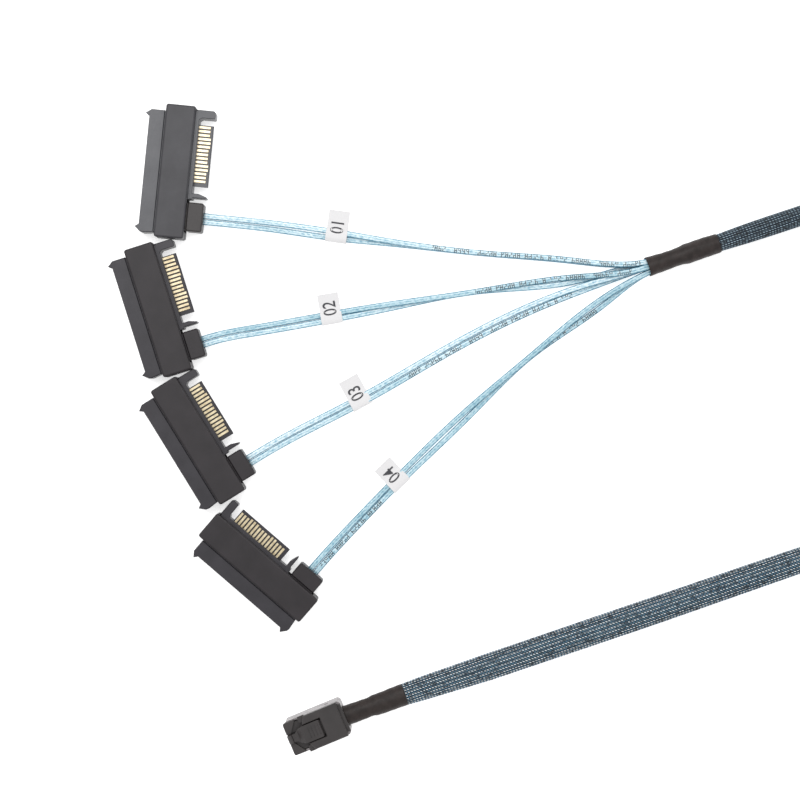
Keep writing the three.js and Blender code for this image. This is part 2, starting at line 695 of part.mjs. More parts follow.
// The metal tub: floor, two sides with a window each, and a rear wall with the cable's hole.
function plugShell() {
  const { wall, height, window, windowAt, start } = PLUG_SHELL;
  const hole = new THREE.CylinderGeometry(CABLE_EXIT.radius, CABLE_EXIT.radius, 4 * wall, ROUND_SIDES);
  const exit = toSolid(hole).rotate([0, 0, 90])
    .translate([PLUG.length, CABLE_EXIT.shift, CABLE_EXIT.level]);
  const acrossAll = [-PLUG.width, PLUG.width];
  const windows = block(
    around(windowAt, window), acrossAll, around(CABLE_EXIT.level, window),
  );
  const lowFront = block(
    [start - PAST, PLUG_TOE.start - CLEARANCE], acrossAll, [BLOCK_BASE - SNUG, height + PAST],
  );
  const tub = cut(slab(shellOutline(0), 0, height), slab(shellOutline(wall), wall, height + PAST));
  return cut(tub, exit, windows, lowFront);
}

// The black roof: a raised rear block, two side rails that the latch pad lies between, a low toe in
// front of each rail and a low ledge over the tub's rear wall.
function plugCover() {
  const { start, end, bayEnd, slant, edge, roof } = PLUG_COVER;
  const plan = polygon([
    [start, -PLUG_HALF], [end, -PLUG_HALF], [end, PLUG_HALF], [start, PLUG_HALF],
    [start - slant, LATCH_BAY], [bayEnd, LATCH_BAY],
    [bayEnd, -LATCH_BAY], [start - slant, -LATCH_BAY],
  ]);
  const toes = [-1, 1].map((side) => {
    const [inner, outer] = [PLUG_TOE.inside, PLUG_HALF + PLUG_TOE.swell];
    const span = side > 0 ? [inner, outer] : [-outer, -inner];
    return block([PLUG_TOE.start, PLUG_TOE.end], span, [COVER_FLOOR, COVER_FLOOR + PLUG_TOE.height]);
  });
  const ledge = block(
    [end - edge - MELD, PLUG.length],
    around(0, PLUG.width - 2 * PLUG_LEDGE.inset),
    [COVER_FLOOR, COVER_FLOOR + PLUG_LEDGE.height],
  );
  const room = LATCH_PIN.diameter / 2 + SNUG;
  const pinHalf = LATCH_PIN.length / 2 + SNUG;
  const hood = block(
    [bayEnd - PAST, LATCH_PIN.x + LATCH.eye + CLEARANCE],
    [-LATCH_BAY, LATCH_BAY],
    [COVER_FLOOR - PAST, PLUG.height - roof],
  );
  const pinSlot = block(
    around(LATCH_PIN.x, room * 2), [-pinHalf, pinHalf], [COVER_FLOOR - PAST, PIN_LEVEL + room],
  );
  const roofBlock = slab(plan, COVER_FLOOR, PLUG.height, edge);
  return cut(join(roofBlock, ledge, ...toes), hood, pinSlot);
}

// The mating shroud: a square tube with two corner blocks on top and a channel between them for
// the latch's neck.
function matingShroud() {
  const { wall, length, base, corner } = SHROUD;
  const { end, taper, overhang } = SHROUD_BLOCK;
  const tube = longSlab(roundedRect(-SHROUD_HALF, SHROUD_HALF, base, SHROUD_TOP, corner), 0, length);
  const wide = SHROUD_HALF + overhang;
  const blocks = slab(roundedRect(0, end, -wide, wide, corner), BLOCK_BASE, SHROUD_TOP, 0, 2);
  const mouth = roundedRect(
    wall - SHROUD_HALF, SHROUD_HALF - wall, MOUTH_LEVELS[0], MOUTH_LEVELS[1], corner / 2,
  );
  const neck = LATCH.neckWidth / 2 + CLEARANCE;
  const channel = block([-PAST, length + PAST], [-neck, neck], [NECK_FLOOR, SHROUD_TOP + PAST]);
  const behindBlocks = slab(polygon([
    [end - taper, -neck], [end, -wide - PAST], [length + PAST, -wide - PAST],
    [length + PAST, wide + PAST], [end, wide + PAST], [end - taper, neck],
  ]), BLOCK_BASE, SHROUD_TOP + PAST);
  const opening = longSlab(mouth, -PAST, length + PAST);
  return cut(join(tube, blocks), opening, channel, behindBlocks);
}

function cardSolid(level, grow) {
  return block(
    [PADDLE_CARD.recess, PADDLE_CARD.recess + PADDLE_CARD.length + grow],
    around(0, PADDLE_CARD.width + 2 * grow),
    around(level, PADDLE_CARD.thickness + 2 * grow),
  );
}

// The moulding that holds the cards and the ribbons' soldered ends.
function innerMould() {
  const { start, end, drop } = INNER_MOULD;
  const half = SHELL_INSIDE - CLEARANCE;
  const { chamfer, wall, height } = PLUG_SHELL;
  const outline = polygon([
    [start, -half], [end - chamfer, -half], [end, -half + chamfer],
    [end, half - chamfer], [end - chamfer, half], [start, half],
  ]);
  const body = slab(outline, wall + CLEARANCE, height - drop);
  return cut(body, ...CARD_LEVELS.map((level) => cardSolid(level, SNUG)));
}

// The press latch seen from above: a narrow neck, shoulders and a thumb pad.
function latchOutline() {
  const neck = LATCH.neckWidth / 2;
  const pad = LATCH.padWidth / 2;
  const { padStart, padEnd, shoulder, padCurve, padCorner } = LATCH;
  const shape = new THREE.Shape();
  shape.moveTo(0, -neck);
  shape.lineTo(padStart - shoulder, -neck);
  shape.quadraticCurveTo(padStart, -pad, padStart + padCurve, -pad);
  shape.lineTo(padEnd - padCorner, -pad);
  shape.quadraticCurveTo(padEnd, -pad, padEnd, padCorner - pad);
  shape.lineTo(padEnd, pad - padCorner);
  shape.quadraticCurveTo(padEnd, pad, padEnd - padCorner, pad);
  shape.lineTo(padStart + padCurve, pad);
  shape.quadraticCurveTo(padStart, pad, padStart - shoulder, neck);
  shape.lineTo(0, neck);
  return shape;
}

// The same latch from the side: a hook on the neck, a slope up to the pad, a step down behind it.
function latchSide() {
  const { padStart, padEnd } = LATCH;
  const { tip, hookStart, hook, hookTop, hookSlope, ramp, brow, heel } = LATCH_PROFILE;
  const padTop = PLUG.height - SNUG;
  const hookEnd = hookStart + hookTop;
  return polygon([
    [0, LATCH_LEVEL],
    [padEnd, LATCH_LEVEL],
    [padEnd, padTop - heel],
    [padEnd - heel, padTop],
    [padStart + brow, padTop],
    [padStart - ramp, LATCH_TOP],
    [hookEnd + hookSlope, LATCH_TOP],
    [hookEnd, LATCH_TOP + hook],
    [hookStart, LATCH_TOP + hook],
    [0, LATCH_TOP - tip],
  ]);
}

function latchLever() {
  const { padEnd, eye, eyeWidth } = LATCH;
  const side = crossSlab(latchSide(), -PLUG.width, PLUG.width);
  const pad = slab(latchOutline(), LATCH_LEVEL - PAST, PLUG.height, 0, 4).intersect(side);
  const web = block(
    [padEnd - MELD, LATCH_PIN.x], around(0, eyeWidth), [LATCH_LEVEL, LATCH_TOP],
  );
  const knuckle = new THREE.CylinderGeometry(eye, eye, eyeWidth, ROUND_SIDES);
  const bore = LATCH_PIN.diameter / 2 + SNUG;
  const drill = new THREE.CylinderGeometry(bore, bore, PLUG.width, ROUND_SIDES);
  const grips = Array.from({ length: LATCH_GRIP.count }, (_, i) => (
    block(
      around(LATCH_GRIP.first + i * LATCH_GRIP.pitch, LATCH_GRIP.width),
      around(0, LATCH_GRIP.length),
      [PLUG.height - SNUG - LATCH_GRIP.depth, PLUG.height],
    )
  ));
  const onPin = [LATCH_PIN.x, 0, PIN_LEVEL];
  return cut(
    join(pad, web, toSolid(knuckle).translate(onPin)), toSolid(drill).translate(onPin), ...grips,
  );
}

function latchPin() {
  const { diameter, length } = LATCH_PIN;
  const rod = new THREE.CylinderGeometry(diameter / 2, diameter / 2, length, ROUND_SIDES);
  return toSolid(rod).translate([LATCH_PIN.x, 0, PIN_LEVEL]);
}

// A bowed leaf in the shroud's channel, under the latch's pad and clear of its travel.
function latchSpring() {
  const { start, length, width, thickness, bow } = LATCH_SPRING;
  const base = NECK_FLOOR + SNUG;
  const middle = start + length / 2;
  const leaf = new THREE.Shape();
  leaf.moveTo(start, base);
  leaf.quadraticCurveTo(middle, base + 2 * bow, start + length, base);
  leaf.lineTo(start + length, base + thickness);
  leaf.quadraticCurveTo(middle, base + 2 * bow + thickness, start, base + thickness);
  return crossSlab(leaf, -width / 2, width / 2);
}

function hostPlug() {
  const group = turnedGroup(PLUG);
  addPiece(group, 'plug_shell', plugShell(), FINISHES.shell);
  addPiece(group, 'plug_cover', plugCover(), FINISHES.cover);
  addPiece(group, 'plug_mating_shroud', matingShroud(), FINISHES.cover);
  ['lower', 'upper'].forEach((place, i) => {
    addPiece(group, `plug_paddle_card_${place}`, cardSolid(CARD_LEVELS[i], 0), FINISHES.board);
  });
  addPiece(group, 'plug_inner_mould', innerMould(), FINISHES.moulding);
  addPiece(group, 'latch_lever', latchLever(), FINISHES.cover);
  addPiece(group, 'latch_pin', latchPin(), FINISHES.shell);
  addPiece(group, 'latch_spring', latchSpring(), FINISHES.spring);
  return group;
}

function leads(connectors) {
  const group = new THREE.Group();
  connectors.forEach((connector) => {
    const { name } = connector;
    const cells = MOUTH[name];
    addPiece(group, `${name}_ribbon_a`, ribbon(connector, 1, cells.a), FINISHES.ribbon);
    addPiece(group, `${name}_ribbon_b`, ribbon(connector, -1, cells.b), FINISHES.ribbon);
    const holder = turnedGroup(FLAGS[name]);
    addPiece(holder, `${name}_label`, flag(FLAGS[name]), FINISHES.paper);
    group.add(holder);
  });
  return group;
}

// The plug's heat-shrink runs straight from inside the plug down to the start of the braid.
function plugShrink() {
  const exit = placed(PLUG, PLUG.length - PLUG_SHRINK.inside, CABLE_EXIT.shift, CABLE_EXIT.level);
  const [endX, endY] = TRUNK_LOWER_ROUTE[0];
  const run = Math.hypot(endX - exit.x, endY - exit.y);
  const group = new THREE.Group();
  group.position.copy(exit);
  group.rotation.order = 'ZYX';
  group.rotation.z = Math.atan2(endY - exit.y, endX - exit.x);
  group.rotation.y = Math.atan2(exit.z - PLUG_SHRINK.endLevel, run);
  const tube = shrunkTube(
    [...PLUG_SHRINK_RADII, [run - CLEARANCE, PLUG_SHRINK.endRadius]],
    PLUG_SHRINK.flatness,
  );
  addPiece(group, 'plug_heat_shrink', tube, FINISHES.shrink);
  return group;
}

function trunk() {
  const group = new THREE.Group();
  const breakout = turnedGroup(BREAKOUT);
  addPiece(breakout, 'breakout_heat_shrink', breakoutShrink(), FINISHES.shrink);
  group.add(breakout, plugShrink());
  addPiece(group, 'trunk_breakout_side', upperTrunk(), FINISHES.braid);
  addPiece(group, 'trunk_plug_side', trunkStretch(TRUNK_LOWER, TRUNK_LOWER_ROUTE), FINISHES.braid);
  addPiece(group, 'trunk_coil', coil(), FINISHES.braid);
  const strap = tieBand(0, TIE.ply, TIE.width).translate([COIL.x, COIL.y, 0]);
  addPiece(group, 'coil_tie', strap, FINISHES.strap);
  return group;
}

const connectors = layFan();
const cable = new THREE.Group();
cable.name = 'breakout_cable';
cable.position.set(-LAYOUT_CENTRE.x, -LAYOUT_CENTRE.y, 0);
cable.add(...connectors.map(driveConnector), leads(connectors), trunk(), hostPlug());

export default cable;
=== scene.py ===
"""Visual model of a mini SAS breakout cable that lies flat on a pale table.

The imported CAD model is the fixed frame. This script adds the soft pieces (flat ribbons, braided
trunk, heat-shrink, paper flags, strap), every material, the light and the camera.
"""

import logging
import math
from dataclasses import dataclass, field
from enum import Enum

import bpy
import numpy as np
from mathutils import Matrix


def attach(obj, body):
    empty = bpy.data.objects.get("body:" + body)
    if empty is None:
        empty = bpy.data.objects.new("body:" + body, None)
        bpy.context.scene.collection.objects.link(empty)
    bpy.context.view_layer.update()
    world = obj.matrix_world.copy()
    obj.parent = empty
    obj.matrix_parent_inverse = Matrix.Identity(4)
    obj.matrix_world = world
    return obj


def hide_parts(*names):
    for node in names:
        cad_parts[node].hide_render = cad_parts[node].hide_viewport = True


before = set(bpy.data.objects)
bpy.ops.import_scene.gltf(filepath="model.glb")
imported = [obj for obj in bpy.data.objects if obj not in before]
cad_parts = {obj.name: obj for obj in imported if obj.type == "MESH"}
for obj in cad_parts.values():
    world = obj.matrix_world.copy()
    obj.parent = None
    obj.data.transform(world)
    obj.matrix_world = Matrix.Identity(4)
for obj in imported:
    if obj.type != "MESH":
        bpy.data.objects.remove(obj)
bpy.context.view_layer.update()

LOG = logging.getLogger("breakout_cable")
MM = 0.001
BODY = "cable"
LAYOUT_SHIFT = np.array([56.1, 9.5, 0.0])
UP = np.array([0.0, 0.0, 1.0])
WHITE = (1.0, 1.0, 1.0)

Piece = bpy.types.Object
Material = bpy.types.Material
Socket = bpy.types.NodeSocket
Pair = tuple[float, float]
Colour = tuple[float, float, float]
Stretches = tuple[Pair, ...]


class Side(Enum):
    """Which of a lead's two ribbons: the one on its left, or the one on its right."""

    LEFT = 1
    RIGHT = -1


class Hand(Enum):
    """The way that a braid's strands turn round the trunk."""

    CLOCKWISE = -1
    ANTICLOCKWISE = 1


# Shared geometry


def to_frame(points: np.ndarray) -> np.ndarray:
    """Rows of layout millimetres as rows of metres in the frame."""
    return (np.asarray(points, float) + LAYOUT_SHIFT) * MM


def lengths_along(line: np.ndarray) -> np.ndarray:
    """The length from a line's first row to each of its rows."""
    return np.concatenate([[0.0], np.cumsum(np.linalg.norm(np.diff(line, axis=0), axis=1))])


def unit(vectors: np.ndarray) -> np.ndarray:
    """Vectors of length one in the same directions, taken over the last axis."""
    return vectors / np.linalg.norm(vectors, axis=-1, keepdims=True)


def sampled(rows: np.ndarray, along: np.ndarray, values: np.ndarray) -> np.ndarray:
    """Three columns of values by length, read at other lengths between their rows."""
    return np.stack([np.interp(rows, along, values[:, k]) for k in range(3)], axis=1)


def circle(count: int) -> np.ndarray:
    """Angles that go once round in even steps, the last one short of the first."""
    return np.linspace(0, 2 * math.pi, count, endpoint=False)


def squared(wave: np.ndarray, power: float) -> np.ndarray:
    """A sine or cosine raised to a power with its sign kept, which squares a round section."""
    return np.sign(wave) * np.abs(wave) ** power


def spline(points: list | np.ndarray, fine: int = 40) -> np.ndarray:
    """Natural cubic spline through points, by chord length.

    Each span is the cubic whose second derivatives at the points solve the usual tridiagonal
    system, which is zero at both ends.

    Args:
        points: rows of x, y, z that the line goes through.
        fine: samples in each span.

    Returns:
        Rows of x, y, z along the line.
    """
    p = np.asarray(points, float)
    knots = lengths_along(p)
    h = np.diff(knots)
    n = len(p)
    system = np.eye(n)
    inner = np.arange(1, n - 1)
    system[inner, inner - 1] = h[:-1]
    system[inner, inner] = 2 * (h[:-1] + h[1:])
    system[inner, inner + 1] = h[1:]
    slopes = np.diff(p, axis=0) / h[:, None]
    right = np.zeros_like(p)
    right[1:-1] = 6 * np.diff(slopes, axis=0)
    bend = np.linalg.solve(system, right)
    t = np.linspace(0, knots[-1], fine * (n - 1) + 1)
    i = np.clip(np.searchsorted(knots, t, side="right") - 1, 0, n - 2)
    a, b, w = ((knots[i + 1] - t)[:, None], (t - knots[i])[:, None], h[i][:, None])
    return (
        bend[i] * (a**3 / (6 * w))
        + bend[i + 1] * (b**3 / (6 * w))
        + (p[i] / w - bend[i] * w / 6) * a
        + (p[i + 1] / w - bend[i + 1] * w / 6) * b
    )


@dataclass
class Rail:
    """A line with a side and an up direction at each of its rows, and its length so far."""

    centre: np.ndarray
    tangent: np.ndarray = field(init=False)
    side: np.ndarray = field(init=False)
    up: np.ndarray = field(init=False)
    along: np.ndarray = field(init=False)

    def __post_init__(self) -> None:
        """Works out the directions: side is level and to the left, up is square to both."""
        self.along = lengths_along(self.centre)
        self.tangent = unit(np.gradient(self.centre, self.along, axis=0))
        self.side = unit(np.cross(UP, self.tangent))
        self.up = np.cross(self.tangent, self.side)

    @staticmethod
    def rows(start: float, end: float, step: float) -> np.ndarray:
        """Even lengths from a start to an end, about one step apart."""
        return np.linspace(start, end, max(2, int(round((end - start) / step)) + 1))

    @classmethod
    def even(cls, line: np.ndarray, step: float) -> "Rail":
        """A rail along a line, its rows about one step apart."""
        along = lengths_along(line)
        return cls(sampled(cls.rows(0, along[-1], step), along, line))

    def part(self, start: float, end: float, step: float) -> "Rail":
        """The stretch of this rail between two lengths.

        Args:
            start: where the stretch starts, as a length along this rail.
            end: where it ends.
            step: the wanted distance between rows.

        Returns:
            The stretch as a rail, whose lengths go on from this one's.
        """
        rows = self.rows(start, end, step)
        piece = Rail(sampled(rows, self.along, self.centre))
        piece.tangent = sampled(rows, self.along, self.tangent)
        piece.side = sampled(rows, self.along, self.side)
        piece.up = sampled(rows, self.along, self.up)
        piece.along = rows
        return piece

    def swept(self, across: np.ndarray, height: np.ndarray) -> np.ndarray:
        """A section carried along the rail.

        Args:
            across: how far each point of the section lies to the side, by row and column.
            height: how far each point lies up, by row and column.

        Returns:
            A grid of points, row by column by x, y, z.
        """
        sideways = self.side[:, None] * np.asarray(across)[..., None]
        upwards = self.up[:, None] * np.asarray(height)[..., None]
        return self.centre[:, None] + sideways + upwards


class MeshMaker:
    """Turns grids of points into finished objects that ride on the cable's body."""

    @staticmethod
    def faces(strips: int, rows: int, columns: int) -> np.ndarray:
        """Quads of grids whose columns close on themselves.

        Args:
            strips: how many grids follow each other.
            rows: rows of each.
            columns: columns of each.

        Returns:
            Four point numbers for each quad.
        """
        counts = np.arange(strips), np.arange(rows - 1), np.arange(columns)
        s, i, j = np.meshgrid(*counts, indexing="ij")
        here = (s * rows + i) * columns
        there = here + columns
        after = (j + 1) % columns
        return np.stack([here + j, here + after, there + after, there + j], axis=-1).reshape(-1, 4)

    @classmethod
    def tube(
        cls, name: str, grid: np.ndarray, material: Material, slot: str,
        along: np.ndarray | None = None, smooth: bool = True,
    ) -> Piece:
        """An object from one grid or several whose columns close, with its ends capped.

        Its UV map has the share round the section as u, and the length along it in
        millimetres as v.

        Args:
            name: the object's name.
            grid: points by row and column, or by strip, row and column, in the frame.
            material: its material.
            slot: handed on to finish, where it is not used.
            along: each row's length in metres, for v.
            smooth: whether it is shaded smooth.

        Returns:
            The object, riding on the cable's body.
        """
        strips = grid if grid.ndim == 4 else grid[None]
        count, rows, columns = strips.shape[:3]
        quads = cls.faces(count, rows, columns)
        starts = np.arange(count)[:, None] * rows * columns
        first = starts + np.arange(columns)[::-1]
        last = starts + (rows - 1) * columns + np.arange(columns)
        mesh = bpy.data.meshes.new(name)
        polygons = [*quads.tolist(), *first.tolist(), *last.tolist()]
        mesh.from_pydata(strips.reshape(-1, 3).tolist(), [], polygons)
        lengths = np.linspace(0, 1, rows) if along is None else along / MM
        u = np.tile(np.arange(columns) / columns, (rows - 1, 1))
        low = np.broadcast_to(lengths[:-1, None], u.shape)
        high = np.broadcast_to(lengths[1:, None], u.shape)
        right = u + 1 / columns
        one = np.stack([u, low, right, low, right, high, u, high], axis=-1)
        capped = np.zeros(2 * first.size * 2)
        layer = mesh.uv_layers.new(name="UVMap")
        layer.data.foreach_set("uv", np.concatenate([np.tile(one.ravel(), count), capped]))
        return cls.finish(name, mesh, material, slot, smooth)

    @staticmethod
    def finish(
        name: str, mesh: bpy.types.Mesh, material: Material, slot: str, smooth: bool = True
    ) -> Piece:
        """Faces the mesh outwards, gives it its material and lets it ride on the cable.

        The volume under all its triangles is below zero where the faces point inwards.

        Args:
            name: the object's name.
            mesh: its mesh, in place in the frame.
            material: its material.
            slot: not used.
            smooth: whether it is shaded smooth.

        Returns:
            The object.
        """
        mesh.calc_loop_triangles()
        co = np.zeros(len(mesh.vertices) * 3)
        mesh.vertices.foreach_get("co", co)
        corners = np.zeros(len(mesh.loop_triangles) * 3, np.int32)
        mesh.loop_triangles.foreach_get("vertices", corners)
        a, b, c = np.moveaxis(co.reshape(-1, 3)[corners.reshape(-1, 3)], 1, 0)
        if np.einsum("ij,ij->", a, np.cross(b, c)) < 0:
            mesh.flip_normals()
        if smooth:
            mesh.shade_smooth()
        else:
            mesh.shade_flat()
        mesh.materials.append(material)
        made = bpy.data.objects.new(name, mesh)
        bpy.context.scene.collection.objects.link(made)
        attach(made, BODY)
        return made


# Finishes


class Graph:
    """A material's node tree with a Principled shader, and short ways to add to it."""

    def __init__(self, name: str) -> None:
        """Starts an empty tree with the shader and its output.

        Args:
            name: the material's name.
        """
        self.material = bpy.data.materials.new(name)
        self.material.use_nodes = True
        self.tree = self.material.node_tree
        self.tree.nodes.clear()
        self.shader = self.tree.nodes.new("ShaderNodeBsdfPrincipled")
        output = self.tree.nodes.new("ShaderNodeOutputMaterial")
        self.tree.links.new(self.shader.outputs["BSDF"], output.inputs["Surface"])

    def feed(self, socket: Socket, value: object) -> None:
        """Links a socket to another one, or gives it a value of its own.

        Args:
            socket: the input.
            value: an output to link it to, or what it holds.
        """
        if isinstance(value, Socket):
            self.tree.links.new(value, socket)
        else:
            socket.default_value = value

    def add(self, kind: str, settings: dict | None = None, **inputs: object) -> bpy.types.Node:
        """Adds a node.

        Args:
            kind: the node's type after ShaderNode.
            settings: attributes to set on the node.
            inputs: values or sockets by input name or, as i0, i1 and on, by number.

        Returns:
            The node.
        """
        node = self.tree.nodes.new(f"ShaderNode{kind}")
        for key, value in (settings or {}).items():
            setattr(node, key, value)
        for key, value in inputs.items():
            numbered = key[0] == "i" and key[1:].isdigit()
            self.feed(node.inputs[int(key[1:]) if numbered else key.replace("_", " ")], value)
        return node

    def set(self, **inputs: object) -> None:
        """Sets or links the shader's own inputs, named with _ for a space."""
        for key, value in inputs.items():
            self.feed(self.shader.inputs[key.replace("_", " ")], value)

    def place(self) -> Socket:
        """Object coordinates in millimetres."""
        place = self.add("TexCoord").outputs["Object"]
        return self.add("VectorMath", {"operation": "SCALE"}, i0=place, Scale=1 / MM).outputs[0]

    def squeezed(self, vector: Socket, factors: Colour) -> Socket:
        """A vector with each of its parts multiplied, so that what reads it is squeezed there."""
        return self.add("VectorMath", {"operation": "MULTIPLY"}, i0=vector, i1=factors).outputs[0]

    def noise(self, vector: Socket, scale: float, octaves: float = 2) -> Socket:
        """Noise over a vector, by its cells a millimetre and its octaves."""
        return self.add("TexNoise", Vector=vector, Scale=scale, Detail=octaves).outputs["Fac"]

    def ramp(self, value: Socket, stops: list[tuple[float, Colour]]) -> Socket:
        """Colours by value.

        Args:
            value: the value's socket.
            stops: pairs of position and linear colour.

        Returns:
            The colour's socket.
        """
        node = self.add("ValToRGB", Fac=value)
        marks = node.color_ramp.elements
        while len(marks) < len(stops):
            marks.new(0.5)
        for mark, (position, colour) in zip(marks, stops):
            mark.position = position
            mark.color = (*colour, 1)
        return node.outputs["Color"]

    def remap(self, value: Socket, start: Pair, end: Pair) -> Socket:
        """A value carried from one range to another, held at its ends."""
        low, high = start
        return self.add("MapRange", i0=value, i1=low, i2=high, i3=end[0], i4=end[1]).outputs[0]

    def math(self, operation: str, *values: object) -> Socket:
        """The result of a sum on sockets or numbers, by the operation's name."""
        inputs = {f"i{number}": value for number, value in enumerate(values)}
        return self.add("Math", {"operation": operation}, **inputs).outputs[0]

    def mix(self, share: object, below: object, above: object, blend: str = "MIX") -> Socket:
        """One colour laid over another by a share, in a way of blending."""
        settings = {"data_type": "RGBA", "blend_type": blend}
        return self.add("Mix", settings, i0=share, i6=below, i7=above).outputs[2]

    def bump(self, height: Socket, depth: float, strength: float = 1.0) -> None:
        """Gives the shader a relief, its depth in millimetres where the height is 1."""
        node = self.add("Bump", Height=height, Strength=strength, Distance=depth * MM)
        self.set(Normal=node.outputs["Normal"])


def linear(red: int, green: int, blue: int) -> Colour:
    """A screen colour, from 0 to 255, as linear values from 0 to 1."""
    c = np.array([red, green, blue]) / 255
    return tuple(float(x) for x in np.where(c <= 0.04045, c / 12.92, ((c + 0.055) / 1.055) ** 2.4))


@dataclass(frozen=True)
class Finish:
    """A finish by its material's name. Each kind has its own paint method."""

    name: str

    def build(self) -> Material:
        """Makes the material and paints it.

        Returns:
            The material.
        """
        g = Graph(self.name)
        self.paint(g)
        return g.material

    def paint(self, g: Graph) -> None:
        """Leaves the shader as it comes: each kind of finish does more."""


@dataclass(frozen=True)
class Mottled(Finish):
    """Patches that fade between two colours, and a fine grain that roughens the gloss.

    patches and grain give a noise's cells a millimetre and its octaves. fade is where the first
    colour ends and the second is full. gloss is the roughness on the grain's low and high
    places. relief is in millimetres, soft the patches' share in it, and shown its strength.
    """

    first: Colour
    second: Colour
    patches: Pair = (0.16, 4)
    fade: Pair = (0.3, 0.75)
    grain: Pair = (5.0, 2)
    squeeze: Colour = WHITE
    gloss: Pair = (0.38, 0.52)
    relief: float = 0.012
    soft: float = 0.0
    shown: float = 1.0
    metallic: float = 0.0
    specular: float = 0.5

    def paint(self, g: Graph) -> None:
        """Lays on the colours, then the gloss and the relief.

        Args:
            g: the material's tree.
        """
        place = g.place()
        patches = g.noise(place, *self.patches)
        grain = g.noise(g.squeezed(place, self.squeeze), *self.grain)
        g.set(Base_Color=g.ramp(patches, list(zip(self.fade, (self.first, self.second)))))
        low, high = self.gloss
        g.set(Roughness=low if low == high else g.remap(grain, (0.3, 0.7), self.gloss))
        g.set(Metallic=self.metallic, Specular_IOR_Level=self.specular)
        if self.soft > 0:
            shares = g.math("MULTIPLY", patches, self.soft), g.math("MULTIPLY", grain, 1 - self.soft)
            grain = g.math("ADD", *shares)
        if self.relief > 0:
            g.bump(grain, self.relief, self.shown)


class MouldedPlastic(Mottled):
    """Dark moulded plastic: a fine spark-eroded grain, and dust that lightens it in soft patches."""


@dataclass(frozen=True)
class GoldPlate(Mottled):
    """Pale gold plate on stamped contacts, with a brushed grain and duller patches."""

    patches: Pair = (0.9, 3)
    fade: Pair = (0.35, 0.7)
    grain: Pair = (9.0, 3)
    gloss: Pair = (0.3, 0.48)
    relief: float = 0.004
    metallic: float = 0.75


@dataclass(frozen=True)
class SatinMetal(Mottled):
    """Nickel-plated sheet: satin, with fine rolling lines and faint stains."""

    patches: Pair = (0.35, 4)
    fade: Pair = (0.35, 0.75)
    grain: Pair = (1.2, 3)
    squeeze: Colour = (0.6, 7.0, 7.0)
    gloss: Pair = (0.26, 0.44)
    relief: float = 0.004
    metallic: float = 0.85


@dataclass(frozen=True)
class HeatShrink(Mottled):
    """Matt shrunk tubing: brown-black, a little uneven, with faint creases."""

    patches: Pair = (0.45, 4)
    fade: Pair = (0.35, 0.7)
    grain: Pair = (3.0, 3)
    gloss: Pair = (0.42, 0.62)
    relief: float = 0.12
    soft: float = 0.8
    shown: float = 0.6
    specular: float = 0.3


@dataclass(frozen=True)
class Paper(Mottled):
    """White label stock: faint fibres, slightly uneven, half matt."""

    first: Colour = linear(208, 207, 208)
    second: Colour = linear(217, 216, 217)
    patches: Pair = (4.0, 4)
    fade: Pair = (0.3, 0.7)
    grain: Pair = (4.0, 4)
    gloss: Pair = (0.55, 0.55)


@dataclass(frozen=True)
class Ink(Mottled):
    """Dark grey print, a little uneven where it lies on the paper's fibres."""

    first: Colour = linear(34, 34, 38)
    second: Colour = linear(70, 70, 76)
    patches: Pair = (5.0, 3)
    gloss: Pair = (0.6, 0.6)
    relief: float = 0.0


